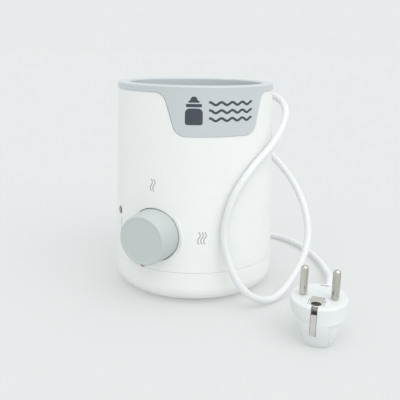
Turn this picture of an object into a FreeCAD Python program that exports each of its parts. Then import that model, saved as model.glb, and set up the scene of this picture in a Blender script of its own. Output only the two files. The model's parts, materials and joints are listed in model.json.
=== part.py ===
"""Bottle warmer: a round plastic body round an aluminium water well, with a turning heat control.

Frame: millimetres, +Z up, Z is the axis of the well, the table is z = 0 and the collar's tab faces -Y.
An azimuth is counted from -Y towards +X, as seen by someone standing in front of the tab.
"""
import FreeCAD, Part
import Sketcher
import math
import os
import re

SIZES = (
    # casing
    ("body_height", 148, "table to the top of the rim"),
    ("shell_top_radius", 54.9, "outer radius of the casing at the rim's height"),
    ("flare", 0.0346, "growth of that radius per millimetre of descent"),
    ("wall", 2.4, "wall of the casing"),
    ("seam_height", 24.2, "parting line between shell and base"),
    ("seam_gap", 0.15, "open line at the parting"),
    ("base_bottom", 2, "underside of the base above the table"),
    ("base_floor", 2.4, "thickness of the base's floor"),
    ("base_round", 10.5, "radius of the base's outer edge"),
    ("lip_radius", 56.5, "outer radius of the lip that enters the shell"),
    ("lip_height", 4, "height of that lip above the parting"),
    ("lip_wall", 1.8, "wall of that lip"),
    ("foot_inner", 43, "inner radius of the foot ring"),
    ("foot_outer", 48, "outer radius of the foot ring"),
    ("foot_groove", 1.4, "depth of the ring's groove"),
    ("boss_circle", 38.5, "radius of the circle of screw bosses"),
    ("boss_radius", 3.8, "outer radius of a shell boss"),
    ("boss_bottom", 11, "where base posts meet shell bosses"),
    ("boss_top", 40, "top of a shell boss"),
    ("boss_bore", 1.8, "radius of the screw hole in a shell boss"),
    ("boss_depth", 16, "depth of that hole"),
    ("boss_azimuth", 15, "azimuth of the first boss"),
    ("post_radius", 4.6, "outer radius of a base post"),
    ("screw_seat", 8, "height of the shoulder under a base screw's head"),
    ("head_bore", 3.3, "radius of the hole for a base screw's head"),
    ("shank_bore", 1.9, "radius of the hole for a base screw's shank"),
    ("vent_inner", 20, "inner end of the floor vents"),
    ("vent_outer", 33, "outer end of the floor vents"),
    ("vent_half", 1.5, "half the width of a floor vent"),
    ("vent_count", 10, "number of floor vents"),
    # collar
    ("collar_radius", 55.4, "outer radius of the collar"),
    ("band_height", 4.4, "height of the collar's band"),
    ("opening_radius", 47.5, "radius of the mouth"),
    ("funnel_radius", 43.4, "radius of the funnel's lower end"),
    ("funnel_depth", 16, "rim to the lower end of the funnel's cone"),
    ("funnel_wall", 1.9, "wall of the funnel"),
    ("spigot_radius", 52.3, "outer radius of the spigot that enters the shell"),
    ("spigot_depth", 9, "rim to the end of the spigot"),
    ("spigot_wall", 1.4, "wall of the spigot"),
    ("rim_round", 1.3, "rounding of the rim's edges"),
    ("tab_bottom", 116.3, "lower edge of the tab"),
    ("tab_low_half", 26.6, "half width of the tab at its lower edge"),
    ("tab_high_half", 33.4, "half width of the tab under the band"),
    ("tab_wing_half", 60, "half width of the outline above the band's edge"),
    ("tab_corner", 8, "rounding of the tab's lower corners"),
    ("tab_flare_radius", 7, "rounding between the tab and the band"),
    ("tab_proud", 0.35, "how far the tab stands out of the shell"),
    ("tab_recess", 1.4, "depth of the recess that takes the tab"),
    ("tab_clearance", 0.15, "gap round the tab and behind it"),
    # well and its heater
    ("well_radius", 42.5, "inner radius of the water well"),
    ("well_floor", 66, "inner floor of the well"),
    ("well_wall", 1.2, "sheet of the well"),
    ("well_round", 5, "inner rounding of the well's floor"),
    ("well_top", 129, "top of the well's flange"),
    ("flange_radius", 47.2, "outer radius of the well's flange"),
    ("gasket_thick", 1.6, "thickness of the gasket on the flange"),
    ("ledge_top", 122, "top of the shell's inner ledge"),
    ("ledge_depth", 3, "reach of that ledge"),
    ("ledge_thick", 1.5, "thickness of that ledge at its edge"),
    ("carrier_sheet", 2, "wall of the ring that carries the well"),
    ("carrier_inner", 44, "inner radius of that ring"),
    ("spreader_radius", 38, "radius of the heat spreader"),
    ("spreader_thick", 4, "thickness of the heat spreader"),
    ("heater_half_x", 13, "half the length of the heater block"),
    ("heater_half_y", 8, "half the width of the heater block"),
    ("heater_thick", 4, "thickness of the heater block"),
    ("mica_thick", 0.6, "thickness of the mica sheet"),
    ("clamp_thick", 1.2, "thickness of the heater's clamp plate"),
    ("clamp_half_x", 20.5, "half the length of the clamp plate"),
    ("clamp_screw_x", 17.5, "screws of the clamp plate from its middle"),
    ("tapping_radius", 1.65, "radius of a tapped hole in the spreader"),
    ("tapping_depth", 3, "depth of a tapped hole in the spreader"),
    ("plate_hole", 1.7, "radius of a plain hole for a small screw"),
    ("fuse_radius", 2, "radius of the thermal fuse"),
    ("fuse_length", 11, "length of the thermal fuse"),
    ("fuse_y", 27, "thermal fuse from the middle of the spreader"),
    ("fuse_drop", 3.2, "axis of the thermal fuse below the spreader"),
    ("fuse_lead", 7, "length of each of its leads"),
    ("fuse_screw", 6, "screw of its clip from its axis"),
    ("sleeve_wall", 0.6, "wall of the sleeve over the fuse"),
    ("cutout_x", -22, "place of the overheat cutout"),
    ("cutout_y", 17, "place of the overheat cutout"),
    # heat control, along its own axis
    ("knob_azimuth", -43.3, "azimuth of the knob's axis"),
    ("knob_height", 48.9, "height of the knob's axis"),
    ("knob_base_radius", 18.1, "radius of the knob at the casing"),
    ("knob_face_radius", 17, "radius of the knob's face"),
    ("knob_base", 55.6, "knob's open end from the body's axis"),
    ("knob_face", 73.6, "knob's face from the body's axis"),
    ("knob_wall", 1.9, "wall of the knob"),
    ("knob_dish", 0.25, "depth of the face's dish"),
    ("knob_round", 1.35, "rounding of the knob's edge"),
    ("notch_half", 1.1, "half the width of the notch for the knob's pointer"),
    ("hub_radius", 5.6, "outer radius of the knob's hub"),
    ("hub_end", 57, "hub's inner end from the body's axis"),
    ("knob_rib_end", 63, "inner end of the knob's ribs from the body's axis"),
    ("seat_floor", 55.2, "floor of the knob's recess from the body's axis"),
    ("seat_radius", 18.6, "radius of the knob's recess"),
    ("spindle_radius", 3, "radius of the spindle"),
    ("spindle_inner", 40.9, "spindle's inner end from the body's axis"),
    ("spindle_outer", 68.5, "spindle's outer end from the body's axis"),
    ("flat_height", 2, "spindle's flat from its axis"),
    ("running_gap", 0.05, "radial clearance of a running fit"),
    ("bush_radius", 4.8, "outer radius of the bush's thread"),
    ("bush_inner", 38.6, "bush's inner end from the body's axis"),
    ("bush_outer", 52.4, "bush's outer end from the body's axis"),
    ("nut_radius", 6.9, "corner radius of the bush's nut"),
    ("pin_head", 39, "inner face of the push pin's head from the body's axis"),
    ("bracket_face", 45, "inner face of the bracket's plate from the body's axis"),
    ("bracket_thick", 1.2, "sheet of the bracket"),
    ("bracket_half", 9, "half the width of the bracket"),
    ("bracket_foot", 21, "inner end of the bracket's foot from the body's axis"),
    ("bracket_screw_x", 6, "bracket's screws from its middle"),
    ("bracket_screw_y", 29, "bracket's screws from the body's axis"),
    ("stack_drop", 16, "axis of the contact stack below the knob's axis"),
    ("stack_radius", 5.5, "radius of the ceramic spacers"),
    ("rivet_radius", 1.65, "radius of the stack's rivet"),
    ("rivet_head", 3.2, "radius of that rivet's heads"),
    ("leaf_level", 33.7, "inner face of the contact leaf from the body's axis"),
    ("leaf_thick", 0.5, "thickness of the contact leaf"),
    ("leaf_half", 3, "half the width of the contact leaf"),
    ("leaf_root", 9.7, "leaf's bending line below the knob's axis"),
    ("leaf_tip", 9, "leaf's tip above the knob's axis"),
    ("bimetal_level", 28, "inner face of the bimetal strip from the body's axis"),
    ("bimetal_thick", 0.6, "thickness of the bimetal strip"),
    ("bimetal_half", 3.2, "half the width of the bimetal strip"),
    ("contact_radius", 1.3, "radius of a contact rivet"),
    ("contact_up", 7.3, "contact rivets above the knob's axis"),
    ("contact_gap", 1.3, "open gap between the contacts"),
    # indicator lamp
    ("lens_azimuth", -80.9, "azimuth of the lamp's lens"),
    ("lens_height", 58.2, "height of the lamp's lens"),
    ("lens_radius", 2.85, "radius of the lens"),
    ("lens_flange", 4.2, "radius of the lens's flange behind the casing"),
    ("lens_face", 58.4, "lens's face from the body's axis"),
    # mains lead
    ("cord_radius", 2.6, "radius of the mains lead"),
    ("cord_height", 16, "height at which the lead leaves the base"),
    ("gland_end", 82, "end of the strain relief from the body's axis"),
    ("gland_start", 54.6, "inner end of the strain relief from the body's axis"),
    ("gland_face", 60, "where its outer flange meets the base's wall"),
    ("gland_flange", 7.2, "radius of the strain relief's outer flange"),
    ("groove_half", 0.6, "half the width of a groove in a strain relief"),
    ("groove_core", 0.6, "rubber left over the lead in a groove"),
    ("gland_neck", 4.8, "radius of its neck in the base's wall"),
    ("wire_radius", 0.7, "radius of an inner wire"),
    ("clamp_y", 46, "cord clamp behind the body's axis"),
    ("clamp_half_y", 2.5, "half the width of the cord clamp"),
    ("clamp_screw_pitch", 8.3, "cord clamp's screws from its middle"),
    ("clamp_post", 3.2, "radius of a post under the cord clamp"),
    ("clamp_bore", 1.5, "radius of the screw hole in such a post"),
    ("block_y", 20, "terminal block behind the body's axis"),
    ("block_pitch", 10, "distance between its terminals"),
    ("block_bore", 5, "wires' height above the base's floor"),
    ("core_radius", 0.6, "radius of the lead's inner wires"),
    # plug, which stands on its back with its pins up
    ("plug_x", 46.3, "place of the plug's face"),
    ("plug_y", -116.4, "place of the plug's face"),
    ("plug_turn", -36.5, "direction of the line through the pins"),
    ("plug_face", 27.4, "height of the plug's face"),
    ("plug_radius", 17.3, "radius of the plug's face"),
    ("plug_head", 9.9, "height of the plug's round head"),
    ("pin_pitch_half", 9.5, "half the distance between the pins"),
    ("pin_radius", 2.4, "radius of a pin"),
    ("pin_length", 19, "length of a pin above the face"),
    ("pin_root", 1.8, "radius of a pin inside the plug"),
    ("pin_depth", 5, "depth of a pin's root in the plug"),
    ("pin_collar", 1.5, "height of the plastic collar round a pin's foot"),
    ("socket_y", -10.3, "earth socket from the middle of the face"),
    ("socket_radius", 2.5, "radius of the earth socket"),
    ("socket_plate", 4, "half the width of the earth socket's plate"),
    ("strip_half", 1.9, "half the width of an earth strip"),
    ("strip_slot", 2.2, "depth of the slots for the earth strips"),
    ("grip_low_half", 9.5, "half the width of the grip's foot"),
    ("grip_high_half", 12, "half the width of the grip under the head"),
    ("boot_start", 24, "start of the plug's strain relief behind its middle"),
    ("boot_end", 45, "end of the plug's strain relief behind its middle"),
    ("boot_height", 12.5, "height of the lead where it enters the plug"),
)

doc = FreeCAD.newDocument("BottleWarmer")
sheet = doc.addObject("Spreadsheet::Sheet", "Sizes")
for row, (alias, number, meaning) in enumerate(SIZES, 1):
    sheet.set(f"A{row}", meaning)
    sheet.set(f"B{row}", str(number))
    sheet.setAlias(f"B{row}", alias)
doc.recompute()
ALIASES = {alias for alias, number, meaning in SIZES}
pieces = []


# ---------------------------------------------------------------- helpers
def formula(text):
    """The text as a FreeCAD expression, with the sheet's name before each alias."""
    return re.sub(r"[a-z_]\w*", lambda word: ("Sizes." if word[0] in ALIASES else "") + word[0], str(text))


def value(text):
    """The present value of a formula."""
    return float(sheet.evalExpression(formula(text)))


def bind(feature, **formulas):
    for name, text in formulas.items():
        feature.setExpression(name.replace("__", "."), formula(text))


def new_piece(label, placement=None):
    """A body that becomes a sub-part of its own."""
    body = doc.addObject("PartDesign::Body", label)
    body.Label = label
    if placement:
        body.Placement = placement
    pieces.append(body)
    return body


def sketch_in(body, role, start="0"):
    """An empty sketch on one of the body's own origin planes, moved along its normal by start."""
    plane = next(item for item in body.Origin.OriginFeatures if item.Role == role)
    sketch = body.newObject("Sketcher::SketchObject", body.Name + "_sketch")
    sketch.AttachmentSupport = [(plane, "")]
    sketch.MapMode = "FlatFace"
    bind(sketch, AttachmentOffset__Base__z=start)
    return sketch


def fix_point(sketch, edge, end, x, y):
    """Hold one point of an edge at (x, y), which are formulas."""
    for kind, text, axis in (("DistanceX", x, -2), ("DistanceY", y, -1)):
        number = value(text)
        if abs(number) < 1e-9:
            sketch.addConstraint(Sketcher.Constraint("PointOnObject", edge, end, axis))
            continue
        index = sketch.addConstraint(Sketcher.Constraint(kind, -1, 1, edge, end, number))
        sketch.setExpression(f"Constraints[{index}]", formula(text))


def outline(sketch, *corners):
    """A closed outline of straight edges through corners, each a pair of formulas."""
    first = sketch.GeometryCount
    points = [FreeCAD.Vector(value(x), value(y), 0) for x, y in corners]
    count = len(points)
    for index, point in enumerate(points):
        sketch.addGeometry(Part.LineSegment(point, points[(index + 1) % count]))
    for index in range(count):
        following = first + (index + 1) % count
        sketch.addConstraint(Sketcher.Constraint("Coincident", first + index, 2, following, 1))
    for index, (x, y) in enumerate(corners):
        fix_point(sketch, first + index, 1, x, y)


def box_outline(sketch, left, low, right, high):
    outline(sketch, (left, low), (right, low), (right, high), (left, high))


def circle(sketch, x, y, radius):
    centre = FreeCAD.Vector(value(x), value(y), 0)
    edge = sketch.addGeometry(Part.Circle(centre, FreeCAD.Vector(0, 0, 1), value(radius)))
    fix_point(sketch, edge, 3, x, y)
    index = sketch.addConstraint(Sketcher.Constraint("Radius", edge, value(radius)))
    sketch.setExpression(f"Constraints[{index}]", formula(radius))


def feature(body, kind, sketch, **formulas):
    result = body.newObject("PartDesign::" + kind, body.Name + "_" + kind.lower())
    result.Profile = sketch
    bind(result, **formulas)
    sketch.Visibility = False
    return result


def turn(body, *corners, kind="Revolution"):
    """Turn an outline of (radius, height) corners round the body's Z axis."""
    sketch = sketch_in(body, "XZ_Plane")
    outline(sketch, *corners)
    result = feature(body, kind, sketch)
    result.ReferenceAxis = (sketch, ["V_Axis"])
    result.Angle = 360
    doc.recompute()
    return result


def extrude(body, start, length, *shapes, role="XY_Plane", kind="Pad"):
    """Add, or cut with kind="Pocket", a prism that runs from start along the plane's normal.

    Each shape is (function, arguments...), such as (circle, x, y, radius).
    """
    before = body.Shape.Volume if kind == "Pocket" else 0
    sketch = sketch_in(body, role, start)
    for draw, *arguments in shapes:
        draw(sketch, *arguments)
    result = feature(body, kind, sketch, Length=length)
    result.Reversed = kind == "Pocket"
    doc.recompute()
    if kind == "Pocket" and body.Shape.Volume >= before - 1e-6:
        raise ValueError(f"{body.Label}: a pocket cuts nothing")
    return result


def repeat(body, original, count):
    """Repeat a feature round the body's Z axis."""
    pattern = body.newObject("PartDesign::PolarPattern", body.Name + "_pattern")
    axis = next(item for item in body.Origin.OriginFeatures if item.Role == "Z_Axis")
    pattern.Originals = [original]
    pattern.Axis = (axis, [""])
    pattern.Angle = 360
    bind(pattern, Occurrences=count)
    body.Tip = pattern
    doc.recompute()
    return pattern


def round_edges(body, radius, choose, kind="Fillet"):
    """Round the edges for which choose(edge) is true."""
    base = body.Tip
    names = [f"Edge{index}" for index, edge in enumerate(base.Shape.Edges, 1) if choose(edge)]
    if not names:
        raise ValueError(f"{body.Label}: no edge to round")
    result = body.newObject("PartDesign::" + kind, body.Name + "_" + kind.lower())
    result.Base = (base, names)
    bind(result, **({"Radius": radius} if kind == "Fillet" else {"Size": radius}))
    doc.recompute()
    return result


def ring_edge(radius, height):
    """A test for a full circle of that radius round Z at that height."""
    size, level = value(radius), value(height)

    def test(edge):
        curve = edge.Curve
        return (isinstance(curve, Part.Circle) and abs(curve.Radius - size) < 0.01
                and abs(curve.Center.z - level) < 0.01 and math.hypot(curve.Center.x, curve.Center.y) < 0.01)
    return test


def upright(edge):
    """A test for straight edges along the body's Z axis."""
    return isinstance(edge.Curve, Part.Line) and abs(edge.Curve.Direction.z) > 0.999


def boolean(label, kind, base, *tools):
    """A Part boolean that becomes a sub-part in place of its base."""
    result = doc.addObject("Part::" + kind, label)
    if kind == "Cut" or kind == "Common":
        result.Base, result.Tool = base, tools[0]
    else:
        result.Shapes = [base, *tools]
    result.Label = label
    doc.recompute()
    return result


def frame_at(azimuth, height):
    """A frame whose Z axis points out of the casing at that azimuth and whose Y axis points up."""
    angle = math.radians(value(azimuth))
    outward = FreeCAD.Vector(math.sin(angle), -math.cos(angle), 0)
    up = FreeCAD.Vector(0, 0, 1)
    rotation = FreeCAD.Rotation(up.cross(outward), up, outward, "ZYX")
    return FreeCAD.Placement(FreeCAD.Vector(0, 0, value(height)), rotation)


def turned_frame(angle, x="0", y="0", z="0"):
    """A frame turned about Z by an angle in degrees."""
    place = FreeCAD.Vector(value(x), value(y), value(z))
    return FreeCAD.Placement(place, FreeCAD.Rotation(FreeCAD.Vector(0, 0, 1), value(angle)))


def skin(height, inset="0"):
    """Radius of the casing's outer surface at a height, less an inset."""
    return f"(shell_top_radius + flare * (body_height - ({height})) - ({inset}))"


def polar(radius, azimuth):
    """Formulas for x and y at a radius and an azimuth."""
    return f"{radius} * sin({azimuth})", f"-{radius} * cos({azimuth})"


# ---------------------------------------------------------------- casing
def tab_outline(sketch, gap):
    """The tab seen from the front, with its wings above the band's lower edge."""
    band = "(body_height - band_height)"
    outline(
        sketch,
        (f"-tab_low_half - {gap}", f"tab_bottom - {gap}"),
        (f"tab_low_half + {gap}", f"tab_bottom - {gap}"),
        (f"tab_high_half + {gap}", f"{band} - {gap}"),
        (f"tab_wing_half + {gap}", f"{band} - {gap}"),
        (f"tab_wing_half + {gap}", f"{band} + 1"),
        (f"-tab_wing_half - {gap}", f"{band} + 1"),
        (f"-tab_wing_half - {gap}", f"{band} - {gap}"),
        (f"-tab_high_half - {gap}", f"{band} - {gap}"),
    )


def tab_solid(label, gap, inner, outer):
    """The tab's outline as a prism, kept between two offsets from the casing's outer surface."""
    prism = doc.addObject("PartDesign::Body", label + "_prism")
    extrude(prism, "0", "collar_radius + 10", (tab_outline, gap), role="XZ_Plane")
    low, high = value("tab_bottom"), value("body_height - band_height")

    def corner(level):
        return lambda edge: (abs(edge.BoundBox.ZLength) < 0.01 and edge.BoundBox.YLength > 10
                             and abs(edge.BoundBox.ZMin - level) < 0.2
                             and abs(edge.BoundBox.XMin) < value("tab_high_half") + 1)
    round_edges(prism, f"tab_corner + {gap}", corner(low))
    round_edges(prism, f"tab_flare_radius - {gap}", corner(high))
    ring = doc.addObject("PartDesign::Body", label + "_ring")
    bottom, top = "tab_bottom - 4", "body_height - band_height + 1"
    turn(ring, (skin(bottom, inner), bottom), (skin(bottom, outer), bottom),
         (skin(top, outer), top), (skin(top, inner), top))
    return boolean(label, "Common", prism, ring)


def outer_shell():
    body = doc.addObject("PartDesign::Body", "shell_blank")
    bottom, top = "(seam_height + seam_gap / 2)", "(body_height - band_height)"
    ledge_low = "(ledge_top - ledge_thick)"
    ledge_root = "(ledge_top - ledge_thick - ledge_depth)"
    turn(body,
         (skin(bottom), bottom), (skin(top), top), (skin(top, "wall"), top),
         (skin("ledge_top", "wall"), "ledge_top"), (skin("ledge_top", "wall + ledge_depth"), "ledge_top"),
         (skin("ledge_top", "wall + ledge_depth"), ledge_low), (skin(ledge_root, "wall"), ledge_root),
         (skin(bottom, "wall"), bottom))
    x, y = polar("boss_circle", "boss_azimuth")
    boss = extrude(body, "boss_bottom", "boss_top - boss_bottom", (circle, x, y, "boss_radius"))
    repeat(body, boss, "3")
    rib = extrude(body, "boss_top - 9", "9", (rib_outline, "lip_radius + 0.5"))
    repeat(body, rib, "3")
    hole = extrude(body, "boss_bottom", "boss_depth", (circle, x, y, "boss_bore"), kind="Pocket")
    repeat(body, hole, "3")

    knob_frame = frame_at("knob_azimuth", "knob_height")
    seat = doc.addObject("PartDesign::Body", "knob_seat")
    seat.Placement = knob_frame
    extrude(seat, "seat_floor - wall", "wall + 1", (circle, "0", "0", "seat_radius + 2"))
    recess = doc.addObject("PartDesign::Body", "knob_recess")
    recess.Placement = knob_frame
    extrude(recess, "seat_floor", "20", (circle, "0", "0", "seat_radius"))
    extrude(recess, "seat_floor - 10", "10", (circle, "0", "0", "spindle_radius + 1.2"))
    window = doc.addObject("PartDesign::Body", "lens_window")
    window.Placement = frame_at("lens_azimuth", "lens_height")
    extrude(window, "lens_face - 8", "16", (circle, "0", "0", "lens_radius + 0.1"))
    tab = tab_solid("tab_recess_tool", "tab_clearance", "tab_recess + tab_clearance", "-5")
    filled = boolean("shell_with_seat", "MultiFuse", body, seat)
    cut = boolean("shell_with_recess", "Cut", filled, recess)
    cut = boolean("shell_with_window", "Cut", cut, window)
    pieces.append(boolean("outer_shell", "Cut", cut, tab))


def rib_outline(sketch, outer):
    """A rib from the first boss out to the casing's wall."""
    corners = []
    for radius, side in (("boss_circle + 2", -1), (outer, -1), (outer, 1), ("boss_circle + 2", 1)):
        x, y = polar(f"({radius})", "boss_azimuth")
        corners.append((f"{x} + {side} * 1.1 * cos(boss_azimuth)", f"{y} + {side} * 1.1 * sin(boss_azimuth)"))
    outline(sketch, *corners)


def base_cover():
    body = new_piece("base_cover")
    top, floor = "(seam_height - seam_gap / 2)", "(base_bottom + base_floor)"
    groove = "(base_bottom + foot_groove)"
    turn(body,
         ("0", "base_bottom"), ("foot_inner", "base_bottom"), ("foot_inner", groove), ("foot_outer", groove),
         ("foot_outer", "base_bottom"), (skin("base_bottom"), "base_bottom"), (skin(top), top),
         ("lip_radius", top), ("lip_radius", f"{top} + lip_height"),
         ("lip_radius - lip_wall", f"{top} + lip_height"), ("lip_radius - lip_wall", f"{top} - 0.5"),
         (skin("seam_height", "wall"), f"{top} - 2.9"),
         (skin(floor, "wall"), floor), ("0", floor))
    round_edges(body, "base_round", ring_edge(skin("base_bottom"), "base_bottom"))
    round_edges(body, "base_round - wall", ring_edge(skin(floor, "wall"), floor))
    x, y = polar("boss_circle", "boss_azimuth")
    post = extrude(body, f"{floor} - 1", f"boss_bottom - {floor} + 1", (circle, x, y, "post_radius"))
    repeat(body, post, "3")
    head = extrude(body, "base_bottom - 1", "screw_seat - base_bottom + 1", (circle, x, y, "head_bore"),
                   kind="Pocket")
    repeat(body, head, "3")
    shank = extrude(body, "screw_seat", "boss_bottom - screw_seat", (circle, x, y, "shank_bore"),
                    kind="Pocket")
    repeat(body, shank, "3")
    vent = extrude(body, "base_bottom - 1", "base_floor + 2",
                   (box_outline, "-vent_half", "vent_inner", "vent_half", "vent_outer"), kind="Pocket")
    repeat(body, vent, "vent_count")
    post_top = "(cord_height + cord_radius)"
    extrude(body, f"{floor} - 1", f"{post_top} - {floor} + 1", *clamp_circles("clamp_post"))
    extrude(body, f"{floor} + 3", f"{post_top} - {floor} - 3", *clamp_circles("clamp_bore"), kind="Pocket")
    extrude(body, f"{floor} - 1", f"cord_height - cord_radius - {floor} + 1",
            (box_outline, "-3.5", "clamp_y - clamp_half_y", "3.5", "clamp_y + clamp_half_y"))
    extrude(body, "-lip_radius - 10", "lip_radius - 30", (circle, "0", "cord_height", "gland_neck + 0.1"),
            role="XZ_Plane", kind="Pocket")


def clamp_circles(radius):
    """The two circles about the cord clamp's screws."""
    return [(circle, f"{sign}clamp_screw_pitch", "clamp_y", radius) for sign in ("", "-")]


def foot_ring():
    body = new_piece("foot_ring")
    inner, outer, top = "foot_inner + 0.05", "foot_outer - 0.05", "base_bottom + foot_groove"
    turn(body, (inner, "0"), (outer, "0"), (outer, top), (inner, top))
    round_edges(body, "0.5", lambda edge: edge.BoundBox.ZMax < 0.01 and isinstance(edge.Curve, Part.Circle))


def screws(label, places, seat, head_radius, head_height, shank_radius, tip, up=True, frame=None):
    """A group of equal screws with domed heads; the shank runs from the seat to the tip."""
    solids = []
    sign = 1 if up else -1
    for x, y in places:
        centre = FreeCAD.Vector(value(x), value(y), value(seat))
        axis = FreeCAD.Vector(0, 0, sign)
        top = centre - axis * value(head_height)
        head = Part.makeCylinder(value(head_radius), value(head_height), top, axis)
        outer = [edge for edge in head.Edges if isinstance(edge.Curve, Part.Circle)
                 and abs(edge.BoundBox.ZMin - top.z) < 1e-6]
        head = head.makeFillet(value(head_height) * 0.45, outer)
        slot_size = value(head_radius) * 1.3
        for turn_angle in (0, 90):
            slot = Part.makeBox(slot_size, 0.7, 0.9, FreeCAD.Vector(-slot_size / 2, -0.35, -0.45))
            slot.rotate(FreeCAD.Vector(0, 0, 0), FreeCAD.Vector(0, 0, 1), turn_angle)
            slot.translate(top)
            head = head.cut(slot)
        length = abs(value(tip) - value(seat))
        shank = Part.makeCylinder(value(shank_radius), length, centre, axis)
        solids.append(head.fuse(shank).removeSplitter())
    screw_group = doc.addObject("Part::Feature", label)
    screw_group.Label = label
    screw_group.Shape = solids[0] if len(solids) == 1 else Part.makeCompound(solids)
    if frame:
        screw_group.Placement = frame
    pieces.append(screw_group)


def base_screws():
    places = [polar("boss_circle", f"(boss_azimuth + {turn_angle})") for turn_angle in (0, 120, 240)]
    screws("base_screws", places, "screw_seat", "3", "2.2", "1.75", "boss_bottom + 13")


def top_collar():
    ring = doc.addObject("PartDesign::Body", "collar_ring")
    cone_end = "(body_height - funnel_depth)"
    seat = "(well_top + gasket_thick)"
    band = "(body_height - band_height)"
    turn(ring,
         ("opening_radius", "body_height"), ("collar_radius", "body_height"), ("collar_radius", band),
         ("spigot_radius", band), ("spigot_radius", "body_height - spigot_depth"),
         ("spigot_radius - spigot_wall", "body_height - spigot_depth"),
         ("spigot_radius - spigot_wall", "body_height - 2.2"),
         ("opening_radius + funnel_wall", "body_height - 2.2"),
         ("opening_radius + funnel_wall - 0.5", "body_height - 8.6"),
         ("funnel_radius + funnel_wall", f"{cone_end} - 0.6"), ("funnel_radius + funnel_wall", seat),
         ("funnel_radius", seat), ("funnel_radius", cone_end), ("opening_radius - 0.5", "body_height - 8"))
    round_edges(ring, "rim_round", lambda edge: ring_edge("collar_radius", "body_height")(edge)
                or ring_edge("opening_radius", "body_height")(edge))
    tab = tab_solid("collar_tab", "0", "tab_recess", "-tab_proud")
    pieces.append(boolean("top_collar", "MultiFuse", ring, tab))


# ---------------------------------------------------------------- well and heater
def water_well():
    body = new_piece("water_well")
    outer = "well_radius + well_wall"
    turn(body,
         ("0", "well_floor - well_wall"), (outer, "well_floor - well_wall"), (outer, "well_top - well_wall"),
         ("flange_radius", "well_top - well_wall"), ("flange_radius", "well_top"),
         ("well_radius", "well_top"), ("well_radius", "well_floor"), ("0", "well_floor"))
    round_edges(body, "well_round", ring_edge("well_radius", "well_floor"))
    round_edges(body, "well_round + well_wall", ring_edge(outer, "well_floor - well_wall"))
    round_edges(body, "0.8", ring_edge("well_radius", "well_top"))


def well_gasket():
    body = new_piece("well_gasket")
    turn(body, ("funnel_radius", "well_top"), ("funnel_radius + 3.2", "well_top"),
         ("funnel_radius + 3.2", "well_top + gasket_thick"), ("funnel_radius", "well_top + gasket_thick"))


def well_carrier():
    body = new_piece("well_carrier")
    under_flange = "(well_top - well_wall)"
    outer = skin("well_top", "wall + 0.4")
    turn(body,
         ("carrier_inner", under_flange), (outer, under_flange), (outer, "ledge_top"),
         (f"{outer} - carrier_sheet", "ledge_top"),
         (f"{outer} - carrier_sheet", f"{under_flange} - carrier_sheet"),
         ("carrier_inner", f"{under_flange} - carrier_sheet"))


UNDER_WELL = "(well_floor - well_wall)"
UNDER_SPREADER = "(well_floor - well_wall - spreader_thick)"
UNDER_HEATER = "(well_floor - well_wall - spreader_thick - heater_thick)"


def heat_spreader(frame):
    body = new_piece("heat_spreader", frame)
    extrude(body, UNDER_SPREADER, "spreader_thick", (circle, "0", "0", "spreader_radius"))
    round_edges(body, "1", ring_edge("spreader_radius", UNDER_WELL))
    places = (("clamp_screw_x", "0"), ("-clamp_screw_x", "0"), ("bracket_screw_x", "-bracket_screw_y"),
              ("-bracket_screw_x", "-bracket_screw_y"), ("0", "fuse_y + fuse_screw"))
    extrude(body, UNDER_SPREADER, "tapping_depth", *((circle, x, y, "tapping_radius") for x, y in places),
            kind="Pocket")


def heater(frame):
    block = new_piece("heater_block", frame)
    extrude(block, UNDER_HEATER, "heater_thick",
            (box_outline, "-heater_half_x", "-heater_half_y", "heater_half_x", "heater_half_y"))
    round_edges(block, "1", upright)
    extrude(block, f"{UNDER_HEATER} + 1.6", "0.8",
            (box_outline, "-9", "heater_half_y - 1", "-5", "heater_half_y + 8"),
            (box_outline, "5", "heater_half_y - 1", "9", "heater_half_y + 8"))
    mica = new_piece("mica_sheet", frame)
    extrude(mica, f"{UNDER_HEATER} - mica_thick", "mica_thick",
            (box_outline, "-heater_half_x - 1.5", "-heater_half_y - 2",
             "heater_half_x + 1.5", "heater_half_y + 2"))
    under_mica = f"({UNDER_HEATER} - mica_thick)"
    plate = new_piece("heater_clamp", frame)
    extrude(plate, f"{under_mica} - clamp_thick", "clamp_thick",
            (box_outline, "-clamp_half_x", "-heater_half_y + 1", "clamp_half_x", "heater_half_y - 1"))
    round_edges(plate, "3", upright)
    extrude(plate, f"{under_mica} - clamp_thick", "clamp_thick",
            (circle, "clamp_screw_x", "0", "plate_hole"), (circle, "-clamp_screw_x", "0", "plate_hole"),
            kind="Pocket")
    for side, sign in (("left", "-"), ("right", "")):
        spacer = new_piece(f"clamp_spacer_{side}", frame)
        extrude(spacer, under_mica, f"{UNDER_SPREADER} - {under_mica}",
                *((circle, f"{sign}clamp_screw_x", "0", radius) for radius in ("2.8", "plate_hole")))
    screws("clamp_screws", (("clamp_screw_x", "0"), ("-clamp_screw_x", "0")), f"{under_mica} - clamp_thick",
           "2.8", "1.8", "1.6", f"{UNDER_SPREADER} + 2.8", frame=frame)


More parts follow.
